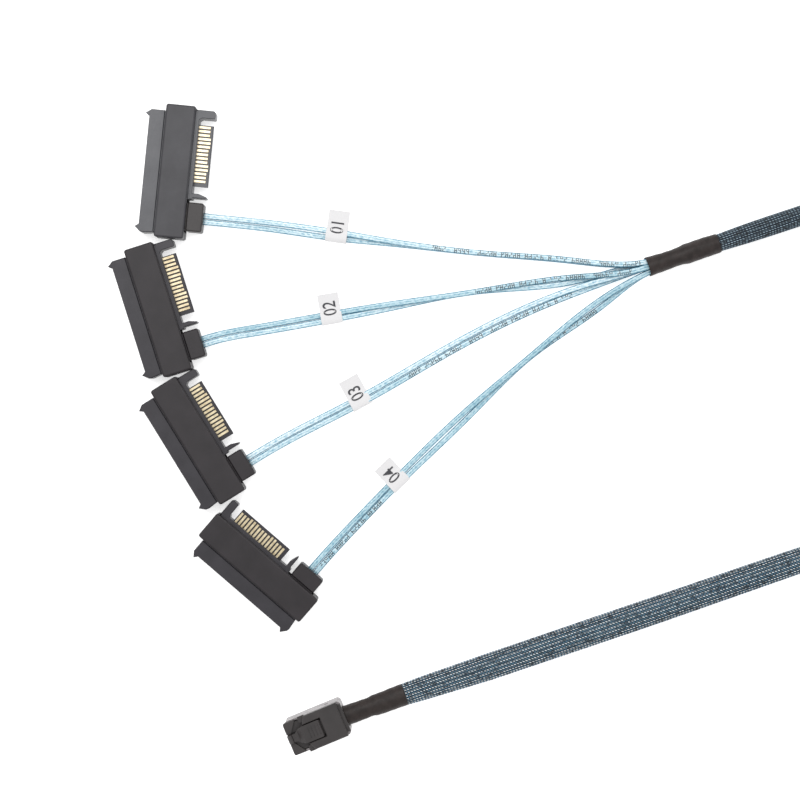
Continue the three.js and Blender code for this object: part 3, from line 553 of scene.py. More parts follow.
@dataclass(frozen=True)
class RibbonFilm(Finish):
    """Clear blue film over two cores: blue at its edges, pale along the cores (their silver and a
    painted highlight), wrinkled.

    Small plain figures stand in rows along the given stretches, in millimetres, where such a
    cable has its print. tone below 1 deepens the blue.
    """

    marks: Stretches = ()
    tone: float = 1.0
    edge: Colour = linear(92, 140, 162)
    body: Colour = linear(150, 190, 205)
    # core is partly the cores' silver under the film and partly a painted highlight.
    core: Colour = linear(216, 231, 236)
    print_colour: Colour = linear(44, 54, 60)
    print_strength: float = 0.88
    figure_pitch: float = 1.3
    figure_half: float = 0.135
    top: float = 0.25

    def paint(self, g: Graph) -> None:
        """Colours the film by the place across it, then lays streaks, moods and print over it.

        Args:
            g: the material's tree.
        """
        uv = g.add("UVMap").outputs["UV"]
        split = g.add("SeparateXYZ", i0=uv)
        u, v = split.outputs[0], split.outputs[1]
        place = g.place()
        wrinkles = g.noise(place, 0.9, 4)
        centred = g.math("ABSOLUTE", g.math("COSINE", g.math("MULTIPLY", u, 2 * math.pi)))
        waver = g.math("MULTIPLY", g.math("SUBTRACT", wrinkles, 0.5), 0.7)
        bands = (self.body, self.core, self.core, self.body, self.edge)
        film = g.ramp(g.math("ADD", centred, waver), list(zip((0.0, 0.14, 0.5, 0.64, 0.8), bands)))
        streaks = g.noise(g.squeezed(uv, (7.0, 0.35, 1.0)), 2.2, 3)
        moods = g.noise(g.squeezed(place, (0.05, 0.16, 0.16)), 1.0, 2)
        layers = (
            g.ramp(streaks, [(0.36, (0.5, 0.67, 0.76)), (0.56, WHITE)]),
            g.ramp(moods, [(0.4, (0.8, 0.88, 0.9)), (0.56, WHITE)]),
            (self.tone, self.tone**0.6, self.tone**0.5, 1),
        )
        for layer in layers:
            film = g.mix(1.0, film, layer, "MULTIPLY")
        colour = g.mix(self.print_share(g, u, v), film, (*self.print_colour, 1))
        g.set(Base_Color=colour, Roughness=0.25, Coat_Weight=0.25, Coat_Roughness=0.12)
        g.set(Subsurface_Weight=0.12, Subsurface_Radius=(0.6, 0.6, 0.6), Subsurface_Scale=0.0008)
        g.bump(wrinkles, 0.12, 0.5)

    def print_share(self, g: Graph, u: Socket, v: Socket) -> Socket:
        """Rows of plain small figures in groups, which spell nothing.

        Each figure has two upright strokes, halved, and three level ones. White noise, read once
        for each stroke of each figure, leaves some out.

        Args:
            g: the material's tree.
            u: the share round the section.
            v: the length along the ribbon, in millimetres.

        Returns:
            A socket with the ink's share: 0 beside the strokes.
        """
        place = g.math("DIVIDE", v, self.figure_pitch)
        number = g.math("FLOOR", place)
        x = g.math("SUBTRACT", g.math("FRACT", place), 0.5)
        y = g.math("DIVIDE", g.math("SUBTRACT", u, self.top), self.figure_half)
        reach, rise = g.math("ABSOLUTE", x), g.math("ABSOLUTE", y)
        upright = g.math("COMPARE", reach, 0.28, 0.11)
        level = g.math("SUBTRACT", 1.0, g.math("COMPARE", rise, 0.45, 0.26))
        level = g.math("MULTIPLY", level, g.math("LESS_THAN", reach, 0.3))
        strokes = []
        for stroke, parts_across, parts_up in ((upright, 2.0, 1.0), (level, 1.0, 1.5)):
            across = g.math("FLOOR", g.math("MULTIPLY", x, parts_across))
            up = g.math("FLOOR", g.math("MULTIPLY", y, parts_up))
            spot = g.add("CombineXYZ", i0=number, i1=across, i2=up).outputs[0]
            chance = g.add("TexWhiteNoise", {"noise_dimensions": "3D"}, i0=spot).outputs["Value"]
            strokes.append(g.math("MULTIPLY", stroke, g.math("GREATER_THAN", chance, 0.3)))
        group = g.math("GREATER_THAN", g.math("FRACT", g.math("MULTIPLY", number, 0.1618)), 0.2)
        total = 0.0
        for start, end in self.marks:
            inside = g.math("MULTIPLY", g.math("GREATER_THAN", v, start), g.math("LESS_THAN", v, end))
            total = g.math("ADD", total, inside)
        in_row = g.math("LESS_THAN", rise, 1.0)
        for factor in (in_row, group, g.math("MAXIMUM", *strokes), self.print_strength):
            total = g.math("MULTIPLY", total, factor)
        return total


@dataclass(frozen=True)
class Monofilament(Finish):
    """Black plastic strands of the open braid, with a painted highlight where one hand lies over the
    other.

    The mesh attribute crest is 1 at the top of one hand's floats, where a glint is painted as a
    highlight, and -1 at the other's, which show the blue of the ribbons under them.
    """

    # glint is the colour of the painted highlight on the floats' tops; film is the ribbons' blue.
    glint: Colour
    film: Colour
    black: Colour = (0.008, 0.010, 0.012)
    grey: Colour = (0.03, 0.036, 0.042)

    def paint(self, g: Graph) -> None:
        """Lays the blue and the painted glints, a painted highlight, over near-black strands, both in
        soft patches.

        Args:
            g: the material's tree.
        """
        place = g.place()
        dark = g.ramp(g.noise(place, 1.3, 2), [(0.35, self.black), (0.7, self.grey)])
        crest = g.add("Attribute", {"attribute_name": "crest"}).outputs["Fac"]
        patches = g.remap(g.noise(place, 0.9, 3), (0.36, 0.52), (0.12, 1.0))
        under = g.math("MULTIPLY", g.remap(crest, (-0.98, -0.82), (1.0, 0.0)), patches)
        # shown is where the painted highlight, the glint, is laid: one hand's float tops.
        shown = g.math("MULTIPLY", g.remap(crest, (0.82, 0.98), (0.0, 1.0)), patches)
        blue = g.mix(under, dark, (*self.film, 1))
        g.set(Base_Color=g.mix(shown, blue, (*self.glint, 1)))
        g.set(Roughness=0.42, Specular_IOR_Level=0.35)
        g.bump(g.noise(place, 6.0, 2), 0.02, 0.5)


class Laminate(Finish):
    """Green circuit board: solder mask over a faint weave."""

    def paint(self, g: Graph) -> None:
        """Lays two greens in waves.

        Args:
            g: the material's tree.
        """
        weave = g.add("TexWave", Vector=g.place(), Scale=1.4, Distortion=0.6).outputs["Fac"]
        greens = g.ramp(weave, [(0.2, (0.018, 0.07, 0.035)), (0.8, (0.034, 0.12, 0.06))])
        g.set(Base_Color=greens, Roughness=0.35)


class HookAndLoop(Finish):
    """Black strap: a short pile of loops."""

    def paint(self, g: Graph) -> None:
        """Lays a black pile, lighter and higher at the middle of each loop.

        Args:
            g: the material's tree.
        """
        loops = g.add("TexVoronoi", Vector=g.place(), Scale=2.6).outputs["Distance"]
        g.set(Base_Color=g.ramp(loops, [(0.1, (0.03, 0.03, 0.033)), (0.7, (0.008, 0.008, 0.009))]))
        g.set(Roughness=0.9, Sheen_Weight=0.4, Sheen_Roughness=0.5)
        g.bump(loops, 0.2)


@dataclass(frozen=True)
class TableTop(Finish):
    """The pale table top, even and matt, bright enough to read as white."""

    glow: float = 0.55

    def paint(self, g: Graph) -> None:
        """Lays an even pale grey with a faint glow."""
        g.set(Base_Color=(0.86, 0.86, 0.86, 1), Roughness=0.9, Specular_IOR_Level=0.1)
        g.set(Emission_Color=(1, 1, 1, 1), Emission_Strength=self.glow)


class Finishes:
    """Every material that pieces share, made once."""

    def __init__(self) -> None:
        """Builds the materials."""
        self.cover = MouldedPlastic(
            "cover_plastic", (0.0125, 0.0098, 0.0118), (0.0205, 0.0165, 0.0195), specular=0.36
        ).build()
        self.moulding = MouldedPlastic(
            "receptacle_plastic", (0.019, 0.017, 0.0215), (0.031, 0.0285, 0.0345),
            gloss=(0.32, 0.46), specular=0.36,
        ).build()
        # Lighter copies of the cover and housing plastic for P1: painted light, for the brighter light
        # that falls on that connector.
        self.lit_cover = MouldedPlastic(
            "lit_cover_plastic", (0.024, 0.023, 0.0275), (0.037, 0.036, 0.042),
            gloss=(0.36, 0.5), specular=0.42,
        ).build()
        self.lit_moulding = MouldedPlastic(
            "lit_receptacle_plastic", (0.056, 0.0565, 0.064), (0.074, 0.075, 0.083),
            gloss=(0.32, 0.46),
        ).build()
        self.plug = MouldedPlastic(
            "plug_plastic", (0.026, 0.0225, 0.0225), (0.038, 0.033, 0.033), specular=0.4
        ).build()
        self.gold = GoldPlate("gold_plate", linear(208, 196, 166), linear(174, 158, 126)).build()
        self.pale_gold = GoldPlate(
            "pale_gold_plate", linear(230, 217, 190), linear(204, 187, 154)
        ).build()
        self.shell = SatinMetal(
            "plug_shell_metal", linear(148, 144, 145), linear(98, 94, 96)
        ).build()
        self.spring = SatinMetal(
            "spring_steel", linear(205, 205, 208), linear(170, 170, 176)
        ).build()
        self.board = Laminate("board_laminate").build()
        self.shrink = HeatShrink(
            "breakout_tubing", (0.0125, 0.0085, 0.0075), (0.026, 0.0185, 0.017)
        ).build()
        self.plug_shrink = HeatShrink(
            "plug_tubing", (0.0115, 0.0075, 0.0065), (0.025, 0.0175, 0.0155)
        ).build()
        # Braid finishes: first the colour of the painted highlight on the floats' tops, then the
        # ribbons' blue under the strands.
        self.strand = Monofilament(
            "braid_monofilament", linear(238, 246, 250), linear(84, 128, 156)
        ).build()
        self.dense_strand = Monofilament(
            "dense_braid_monofilament", linear(150, 172, 186), linear(48, 66, 82)
        ).build()
        self.coil_strand = Monofilament(
            "coil_braid_monofilament", linear(150, 172, 186), linear(98, 118, 132)
        ).build()
        # A darker copy of the ribbon film for the ribbons inside the braid: painted shade, for the
        # braid's shadow on them.
        self.bundle = RibbonFilm(
            "shaded_bundle_film", edge=linear(58, 98, 124), body=linear(86, 130, 158),
            core=linear(140, 178, 200),
        ).build()
        self.paper = Paper("flag_paper").build()
        self.ink = Ink("flag_ink").build()
        self.strap = HookAndLoop("strap_pile").build()


# Pieces


@dataclass
class Connector:
    """A connector's place: its middle, and its heading in degrees."""

    name: str
    x: float
    y: float
    heading: float

    def point(self, along: float, across: float, z: float) -> list[float]:
        """A point given in the piece's own directions.

        Args:
            along: millimetres along its heading.
            across: millimetres to the left of it.
            z: its height in millimetres.

        Returns:
            The point in layout millimetres.
        """
        turn = math.radians(self.heading)
        c, s = math.cos(turn), math.sin(turn)
        return [self.x + along * c - across * s, self.y + along * s + across * c, z]


@dataclass
class Ribbon:
    """One flat twin ribbon of a lead, from its strain relief to the trunk's mouth.

    Each row of its route has x, y and z, and how far the two ribbons lie apart there: half of
    it sideways, half of it upwards. Its cell is its column and row in the mouth.
    """

    connector: Connector
    side: Side
    cell: tuple[int, int]
    route: list[list[float]]
    width: float = 1.9
    thickness: float = 1.15
    roundness: float = 0.7
    groove_depth: float = 0.16
    groove_width: float = 0.28
    beside: float = 1.0
    column_pitch: float = 1.84
    row_pitch: float = 1.17
    gather: float = 0.8
    root: float = 0.3
    lead: float = 3.0
    mouth_lead: float = 0.8
    inside: float = 3.0
    off_table: float = 0.05
    step: float = 0.9
    exit_along: float = 14.35
    exit_across: float = 10.8
    cover_middle: float = 4.0

    def line(self, mouth: Connector, level: float) -> np.ndarray:
        """The ribbon's middle line, through the same stations as its solid.

        Args:
            mouth: the place and heading of the trunk's mouth.
            level: the height of the mouth's middle in millimetres.

        Returns:
            Rows of x, y, z in layout millimetres.
        """
        sign = self.side.value
        along = self.exit_along - sign * self.beside
        begin = [
            self.connector.point(along, self.exit_across - self.root, self.cover_middle),
            self.connector.point(along, self.exit_across + self.lead, self.cover_middle),
        ]
        across, z = self.cell[0] * self.column_pitch, level + self.cell[1] * self.row_pitch
        gathered = mouth.point(self.inside, across * self.gather, level + (z - level) * self.gather)
        finish = [mouth.point(-self.mouth_lead, across, z), gathered]
        route = np.array(self.route)
        ends = np.vstack([begin[1][:2], route[:, :2], finish[0][:2]])
        turn = unit(ends[2:] - ends[:-2])
        leftwards = np.column_stack([-turn[:, 1], turn[:, 0]])
        flat = route[:, :2] + leftwards * (sign * route[:, 3:4])
        middle = np.column_stack([flat, route[:, 2] + sign * route[:, 4]])
        line = spline(np.vstack([begin, middle, finish]))
        line[:, 2] = np.maximum(line[:, 2], self.thickness / 2 + self.off_table)
        return line

    def build(self, mouth: Connector, level: float, finish: Material) -> Piece:
        """Sweeps a flat section with a groove between its two cores.

        The section is a rounded oblong, its thickness drawn in by a narrow bell at the middle.

        Args:
            mouth: the place and heading of the trunk's mouth.
            level: the height of the mouth's middle in millimetres.
            finish: the film's material.

        Returns:
            The ribbon.
        """
        rail = Rail.even(to_frame(self.line(mouth, level)), self.step * MM)
        angle = circle(20)
        across = squared(np.cos(angle), self.roundness) * self.width / 2
        groove = 1 - self.groove_depth * np.exp(-((across / self.groove_width) ** 2))
        height = squared(np.sin(angle), self.roundness) * self.thickness / 2 * groove
        letter = "a" if self.side is Side.LEFT else "b"
        name = f"{self.connector.name}_flat_ribbon_{letter}"
        made = MeshMaker.tube(name, rail.swept(across * MM, height * MM), finish, "ribbon", rail.along)
        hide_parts(f"{self.connector.name}_ribbon_{letter}")
        return made


@dataclass
class Flag:
    """A paper flag folded round a lead's two ribbons, its tail stuck to itself.

    lift is how much higher the loop is where the ribbons lie one on the other, and reach how
    far the tail goes to the side.
    """

    place: Connector
    z: float
    lift: float
    reach: float
    number: str
    width: float = 7.0
    ply: float = 0.16
    loop: float = 2.35
    neck: float = 0.9
    throat: float = 22.0
    half_ribbon: float = 0.575
    slack: float = 0.25
    rise: float = 0.45
    curl: float = 0.05
    off_table: float = 0.1
    columns: int = 9
    digit_size: float = 6.1
    digit_weight: float = 0.035
    digit_start: float = 0.5
    digit_stretch: float = 0.8
    digit_middle: float = 1.95
    ink_height: float = 0.09

    def outline(self) -> np.ndarray:
        """The sheet's middle line seen along the lead: tail, round the ribbons, and back.

        The loop is an oval raised to powers, the tail a curve that rises ever more steeply.

        Returns:
            Rows of sideways place and height in millimetres.
        """
        tall = self.lift + self.half_ribbon + self.slack
        angle = np.linspace(math.radians(self.throat), math.radians(360 - self.throat), 30)
        across, height = squared(np.cos(angle), 0.75), squared(np.sin(angle), 0.8)
        around = np.column_stack([across * self.loop, height * tall])
        run = np.linspace(self.reach, self.loop + self.neck, 10)
        rise = self.rise * ((run - self.loop) / (self.reach - self.loop)) ** 1.6
        apart = self.ply * 0.55
        over = np.column_stack([run, rise + apart])
        under = np.column_stack([run, rise - apart])[::-1]
        return np.vstack([over, around, under])

    def build(self, finishes: Finishes) -> list[Piece]:
        """Sweeps the folded sheet along the lead and lays the number on it.

        The sheet's two faces are its middle line moved half a ply along the line's normals.

        Args:
            finishes: the cable's materials.

        Returns:
            The flag and its number.
        """
        line = self.outline()
        run = np.gradient(line, axis=0)
        half = unit(np.column_stack([-run[:, 1], run[:, 0]])) * self.ply / 2
        section = np.vstack([line + half, (line - half)[::-1]])
        span = np.linspace(-self.width / 2, self.width / 2, self.columns)
        curl = self.curl * np.cos(span / self.width * 2 * math.pi)
        rail = Rail(to_frame([self.place.point(along, 0, self.z) for along in span]))
        heights = np.maximum(section[None, :, 1] + curl[:, None], self.off_table - self.z)
        grid = rail.swept(np.tile(section[:, 0], (self.columns, 1)) * MM, heights * MM)
        name = f"{self.place.name}_flag"
        sheet = MeshMaker.tube(name, grid, finishes.paper, "paper", rail.along, smooth=False)
        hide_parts(f"{self.place.name}_label")
        return [sheet, self.numeral(line, finishes.ink)]

    def numeral(self, line: np.ndarray, ink: Material) -> Piece:
        """Plain digits, read from the lead towards the tail, draped over the sheet.

        Each point's height is the sheet's upper face under it plus the ink's own thickness.

        Args:
            line: the sheet's middle line.
            ink: the print's material.

        Returns:
            The digits as a mesh.
        """
        name = f"{self.place.name}_digits"
        curve = bpy.data.curves.new(name, "FONT")
        curve.body = self.number
        curve.size = self.digit_size
        curve.offset = self.digit_weight
        curve.resolution_u = 4
        holder = bpy.data.objects.new("digits", curve)
        bpy.context.scene.collection.objects.link(holder)
        bpy.context.view_layer.update()
        ready = holder.evaluated_get(bpy.context.evaluated_depsgraph_get())
        mesh = bpy.data.meshes.new_from_object(ready)
        bpy.data.objects.remove(holder)
        co = np.zeros(len(mesh.vertices) * 3)
        mesh.vertices.foreach_get("co", co)
        x, y = co[0::3], co[1::3]
        sideways = self.digit_start + (x - x.min()) * self.digit_stretch
        forward = self.digit_middle - y
        upper = line[: len(line) // 2]
        order = np.argsort(upper[:, 0])
        under = np.interp(sideways, upper[order, 0], upper[order, 1])
        z = under + self.ply / 2 + self.ink_height + self.z
        put = np.column_stack(self.place.point(forward, sideways, z))
        mesh.vertices.foreach_set("co", to_frame(put).ravel())
        mesh.update()
        return MeshMaker.finish(name, mesh, ink, "paper", False)


@dataclass
class ShrunkTube:
    """Heat-shrink over a straight stretch: its radius by place, flattened, creased and open-ended.

    mouth is the radius of the lip that turns in at its start, or 0 for none. Between the ridges'
    two places it shows the braid under it.
    """

    name: str
    node: str
    start: list[float]
    end: list[float]
    radii: list[Pair]
    flatness: float
    ridges: Pair
    seed: float
    mouth: float = 0.0
    wall: float = 0.08
    step: float = 0.35
    columns: int = 48

    def relief(self, a: np.ndarray, b: np.ndarray) -> np.ndarray:
        """Creases, as sums of sines of angle and place, and the ridges of the braid below.

        Args:
            a: the angle round the tube, by row and column.
            b: the place along it, by row and column.

        Returns:
            What they add to the radius in millimetres.
        """
        crease = (
            0.03 * np.sin(3 * a + 0.7 * b + self.seed)
            + 0.025 * np.sin(5 * a - 0.35 * b + 2 * self.seed)
            + 0.03 * np.sin(2 * a + 1.9 * b + self.seed)
        )
        low, high = self.ridges
        ridged = np.clip((b - low) / 0.8, 0, 1) * np.clip((high - b) / 0.8, 0, 1)
        return crease + 0.05 * ridged * (np.sin(24 * a + 4.9 * b) * np.sin(24 * a - 4.9 * b))

    def build(self, finish: Material) -> Piece:
        """Sweeps round rings along the stretch, their radius from the table plus the relief.

        The lip's rings run back inside the tube, so that its wall shows. The directions come
        from an even line, which has as many rows.

        Args:
            finish: the tubing's material.

        Returns:
            The tube.
        """
        table, start = np.array(self.radii), np.array(self.start)
        run = np.array(self.end) - start
        length = float(np.linalg.norm(run))
        s = np.linspace(0, length, int(length / self.step))
        kernel = np.hanning(7) / np.hanning(7).sum()
        radius = np.pad(np.interp(s, table[:, 0], table[:, 1]), 3, mode="edge")
        angle = circle(self.columns)
        relief = self.relief(*np.meshgrid(angle, s))
        rings = np.convolve(radius, kernel, mode="valid")[:, None] - self.wall + relief
        if self.mouth > 0:
            lip = np.array([[self.mouth], [self.mouth - 0.05], [rings[0].mean() - 0.3]])
            rings = np.vstack([np.tile(lip, (1, self.columns)), rings])
            s = np.concatenate([[2.2, 1.2, 0.35], s])
        direction = run / length
        rail = Rail(to_frame(start + np.linspace(0, length, len(s))[:, None] * direction))
        rail.centre = to_frame(start + s[:, None] * direction)
        across, height = np.cos(angle) * rings, np.sin(angle) * rings * self.flatness
        made = MeshMaker.tube(self.name, rail.swept(across * MM, height * MM), finish, "shrink")
        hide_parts(self.node)
        return made


@dataclass
class Braid:
    """One stretch of the braid: every strand of both hands, woven two over and two under.

    Where it isn't woven, one hand lies evenly over the other. The strands of one hand are
    spread over the full turn, and each makes one turn in a lay.
    """

    name: str
    node: str
    start: float
    end: float
    width: float
    material: Material
    woven: bool = True
    carriers: int = 44
    lay: float = 44.0
    ply: float = 0.2
    weave: float = 0.12
    inset: float = 0.25
    # peak raises the weave's wave before it is clipped into crest, which places the painted highlight.
    peak: float = 1.42
    even_crest: float = -0.92

    def stretch(self, rail: Rail) -> Rail:
        """This braid's part of the trunk, its ends and its rows on crossings of the strands.

        Args:
            rail: the whole route.

        Returns:
            The stretch. A woven one has a row at each crossing, another at each third.
        """
        meeting = self.lay / self.carriers / 2
        first, last = round(self.start / meeting) * meeting, math.floor(self.end / meeting) * meeting
        step = meeting if self.woven else meeting * 3
        return rail.part(first * MM, last * MM, step * MM)

    def build(self, rail: Rail, sizes: tuple[np.ndarray, np.ndarray]) -> Piece:
        """Winds the strands, each a flat three-sided thread.

        A strand's angle grows with the length. Its distance from the middle line swings once
        for each four strands that it crosses, and the other hand's swings the other way.

        Args:
            rail: the stretch.
            sizes: half the sleeve's width and height at each row.

        Returns:
            The braid of that stretch, with its crest attribute.
        """
        grids, crests = [], []
        s = rail.along[None, :, None] / MM
        which = np.arange(self.carriers)[:, None, None]
        side, up = rail.side[None], rail.up[None]
        for hand in Hand:
            angle = 2 * math.pi * which / self.carriers + hand.value * (2 * math.pi * s / self.lay)
            met = 2 * which + hand.value * 2 * s * self.carriers / self.lay
            wave = hand.value * np.cos(math.pi / 2 * (met - 0.5))
            offset = self.weave * MM * (wave if self.woven else hand.value / 2)
            wide, tall = (size[None] - self.inset * MM + offset for size in sizes)
            c, n = np.cos(angle), np.sin(angle)
            centre = rail.centre[None] + side * wide * c + up * tall * n
            out = unit(side * tall * c + up * wide * n)
            flat = unit(np.cross(unit(np.gradient(centre, axis=1)), out))
            half, ply = self.width * MM / 2, self.ply * MM / 2
            corners = [centre + flat * half, centre + out * ply, centre - flat * half]
            grids.append(np.stack(corners, axis=2))
            # crest places the painted highlight: 1 on the tops of one hand's floats, which the finish
            # paints pale.
            crest = hand.value * np.clip(wave * self.peak, 0, 1) if self.woven else self.even_crest
            crests.append(np.broadcast_to(crest, grids[-1].shape[:3]))
        grid = np.concatenate(grids)
        made = MeshMaker.tube(self.name, grid, self.material, "braid", rail.along)
        layer = made.data.attributes.new("crest", "FLOAT", "POINT")
        layer.data.foreach_set("value", np.concatenate(crests).ravel())
        return made


@dataclass
class Trunk:
    """The braided trunk: a bundle of ribbons inside an open braid, its spare length coiled."""

    coil_x: float = 198.0
    coil_y: float = 21.6
    inner: float = 49.2
    outer: float = 58.2
    entry: float = 108.65
    turn: float = 540.0
    climb_from: float = 488.0
    climb_over: float = 50.0
    level: float = 3.3
    crossing: float = 10.2
    braid_start: float = 4.0
    coil_lead: float = 6.0
    coil_run_out: float = 34.0
    bundle_inset: float = 0.5
    path: Rail = field(init=False)

    def line(self) -> tuple[np.ndarray, float, float]:
        """The whole route: from the breakout, round the coil, back to the plug.

        The coil turns clockwise by one and a half turns. Its radius goes from the outer one to
        the inner one over its middle half turn, and its last stretch climbs over the turn below.

        Returns:
            Rows of x, y, z in layout millimetres, and the lengths at which the coil starts
            and ends.
        """
        z, high = self.level, self.crossing
        upper = spline([
            [95.0, 48.35, z], [105.1, 51.8, z], [118, 56.1, z], [131, 60.4, z],
            [155, 68.5, z], [179.4, 76.7, z],
        ])
        turned = np.linspace(0, self.turn, int(self.turn) + 1)[1:-1]
        radii = [self.outer, self.outer, self.inner, self.inner]
        radius = np.interp(turned, [0, 180, 360, self.turn], radii)
        angle = np.radians(self.entry - turned)
        climb = np.clip((turned - self.climb_from) / self.climb_over, 0, 1)
        coil = np.column_stack([
            self.coil_x + radius * np.cos(angle),
            self.coil_y + radius * np.sin(angle),
            z + (high - z) * climb * climb * (3 - 2 * climb),
        ])
        lower = spline([
            [213.7, -25.2, high], [190, -33.2, high], [171, -39.7, 9.8], [154, -45.5, 6.4],
            [138, -50.9, 3.0], [127.1, -54.6, 2.75], [92.4, -66.6, 2.75], [52.8, -80.1, 2.75],
            [23.1, -90.1, 2.75], [2, -97, 2.75], [-4, -99, 2.95],
        ])
        whole = np.vstack([upper, coil, lower])
        length = lengths_along(whole)
        return whole, float(length[len(upper)]), float(length[len(upper) + len(coil)])

    def halves(self, rail: Rail, coil: float, total: float) -> tuple[np.ndarray, np.ndarray]:
        """Half the width and half the height of the sleeve at each row.

        The table's rows are a length, half the width and half the height, in millimetres.

        Args:
            rail: the stretch.
            coil: the length at which the coil starts, in millimetres.
            total: the whole length in millimetres.

        Returns:
            Two columns in metres.
        """
        table = np.array([
            [0, 2.9, 2.8], [10.5, 2.95, 2.85], [14, 3.1, 3.0], [20, 3.3, 3.2], [28, 3.4, 3.25],
            [coil, 3.4, 3.25], [coil + 40, 4.15, 3.2], [total - 175, 4.2, 3.1],
            [total - 150, 4.3, 2.68], [total - 90, 4.6, 2.66], [total - 34, 4.5, 2.66],
            [total - 12, 4.0, 2.66], [total - 4, 3.6, 2.6], [total, 3.3, 2.4],
        ])
        length, wide, tall = table.T
        s = rail.along / MM
        return np.interp(s, length, wide)[:, None] * MM, np.interp(s, length, tall)[:, None] * MM

    def bundle(self, rail: Rail, sizes: tuple[np.ndarray, np.ndarray], finish: Material) -> Piece:
        """Sweeps the bundle of ribbons: an oval section with a lobe for each ribbon.

        Args:
            rail: the whole route.
            sizes: half the sleeve's width and height at each row.
            finish: the bundle's material, a darker copy of the ribbon film that paints the braid's
                shade on it.

        Returns:
            The bundle.
        """
        angle = circle(40)
        lobes = 1 + 0.035 * np.cos(8 * angle + rail.along[:, None] / (90 * MM))
        wide, tall = (size - self.bundle_inset * MM for size in sizes)
        grid = rail.swept(wide * np.cos(angle) * lobes, tall * np.sin(angle) * lobes)
        return MeshMaker.tube("trunk_ribbon_bundle", grid, finish, "braid", rail.along)

    def build(self, f: Finishes) -> list[Piece]:
        """Builds the bundle and its braid, and keeps the path.

        Args:
            f: the cable's materials.

        Returns:
            The bundle and the braids.
        """
        line, coil_start, coil_end = self.line()
        rail = Rail.even(to_frame(line), 1.0 * MM)
        total = float(rail.along[-1]) / MM
        self.path = rail.part(0, rail.along[-1], 1.9 * MM)
        made = [self.bundle(self.path, self.halves(self.path, coil_start, total), f.bundle)]
        first, last = coil_start + self.coil_lead, coil_end + self.coil_run_out
        braids = (
            Braid("trunk_braid_breakout_side", "trunk_breakout_side", self.braid_start, first,
                  0.3, f.dense_strand),
            Braid("trunk_braid_coil", "trunk_coil", first, last, 0.29, f.coil_strand, woven=False),
            Braid("trunk_braid_plug_side", "trunk_plug_side", last, total, 0.26, f.strand),
        )
        for braid in braids:
            stretch = braid.stretch(rail)
            made.append(braid.build(stretch, self.halves(stretch, coil_start, total)))
            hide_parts(braid.node)
        return made


@dataclass
class CoilTie:
    """The strap that holds the coil's turns together, a closed band in a plane across them."""

    x: float = 198.0
    y: float = 21.6
    inner: float = 44.8
    outer: float = 62.6
    height: float = 6.6
    turn: float = 35.0
    width: float = 8.0
    ply: float = 0.85
    soft_edge: float = 0.3
    powers: Pair = (0.28, 0.45)

    def build(self, finish: Material) -> Piece:
        """Sweeps a flat section with round edges round the turns, a little past its start.

        The loop is a rounded oblong in the plane that cuts the coil.

        Args:
            finish: the strap's material.

        Returns:
            The strap.
        """
        angle = circle(96)
        across, upwards = squared(np.cos(angle), self.powers[0]), squared(np.sin(angle), self.powers[1])
        half, middle = (self.outer - self.inner) / 2, (self.inner + self.outer) / 2
        edge, narrow = self.width / 2, self.width / 2 - self.soft_edge
        place = Connector("tie", self.x, self.y, self.turn)
        rings = []
        for inset, off in ((0, -narrow), (0, narrow), (self.ply, edge), (self.ply, -edge)):
            radius = middle + across * (half - inset)
            z = self.height / 2 + upwards * (self.height / 2 - inset)
            rings.append(np.column_stack(place.point(radius, off, z)))
        grid = np.stack(rings, axis=1)
        closed = np.concatenate([grid, grid[:1]])
        made = MeshMaker.tube("coil_strap", to_frame(closed), finish, "strap", smooth=False)
        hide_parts("coil_tie")
        return made


@dataclass
class HardParts:
    """The CAD pieces that stay: each gets its material, and those with an edge radius softened edges.
    """

    finishes: Finishes
    weld: float = 1e-6
    same_face: float = 0.5
    sharp: float = 35.0

    def rules(self) -> list[tuple[tuple[str, ...], Material, float]]:
        """What each kind of node gets. The first rule that fits a node's name holds.

        Returns:
            Ends of the nodes' names, their material and their edge radius in millimetres.
        """
        f = self.finishes
        return [
            # P1's housing and covers take the lighter copies of the plastic, which are painted light.
            (("p1_receptacle_housing",), f.lit_moulding, 0.12),
            (("p1_cover_top", "p1_cover_bottom"), f.lit_cover, 0.26),
            (("p1_strain_relief",), f.plug, 0.22),
            (("p1_power_contacts",), f.pale_gold, 0.04),
            (("receptacle_housing",), f.moulding, 0.12),
            (("cover_top", "cover_bottom"), f.cover, 0.26),
            (("strain_relief",), f.cover, 0.22),
            (("power_contacts",), f.gold, 0.04),
            (("drive_contacts",), f.gold, 0.0),
            (("plug_shell",), f.shell, 0.08),
            (("plug_cover",), f.plug, 0.15),
            (("plug_mating_shroud", "latch_lever"), f.plug, 0.1),
            (("plug_inner_mould",), f.plug, 0.0),
            (("paddle_card_lower", "paddle_card_upper"), f.board, 0.0),
            (("latch_pin",), f.shell, 0.0),
            (("latch_spring",), f.spring, 0.0),
        ]

    def dress(self) -> list[Piece]:
        """Gives every kept node its material, and bevels the edges that show.

        Returns:
            The nodes that were dressed.
        """
        dressed = []
        rules = self.rules()
        for name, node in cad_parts.items():
            _, material, radius = next((rule for rule in rules if name.endswith(rule[0])), (None,) * 3)
            if material is None:
                continue
            node.data.materials.clear()
            node.data.materials.append(material)
            dressed.append(node)
            if radius > 0:
                self.soften(node, radius)
        return dressed

    def soften(self, node: Piece, radius: float) -> None:
        """Welds a node's split corners, merges its flat faces and rounds its edges.

        Args:
            node: the CAD node.
            radius: the edge's radius in millimetres.
        """
        weld = node.modifiers.new("weld", "WELD")
        weld.merge_threshold = self.weld
        flat = node.modifiers.new("flat", "DECIMATE")
        flat.decimate_type = "DISSOLVE"
        flat.angle_limit = math.radians(self.same_face)
        bevel = node.modifiers.new("edges", "BEVEL")
        bevel.width = radius * MM
        bevel.segments = 2
        bevel.limit_method = "ANGLE"
        bevel.angle_limit = math.radians(self.sharp)
        bevel.harden_normals = False


# The whole


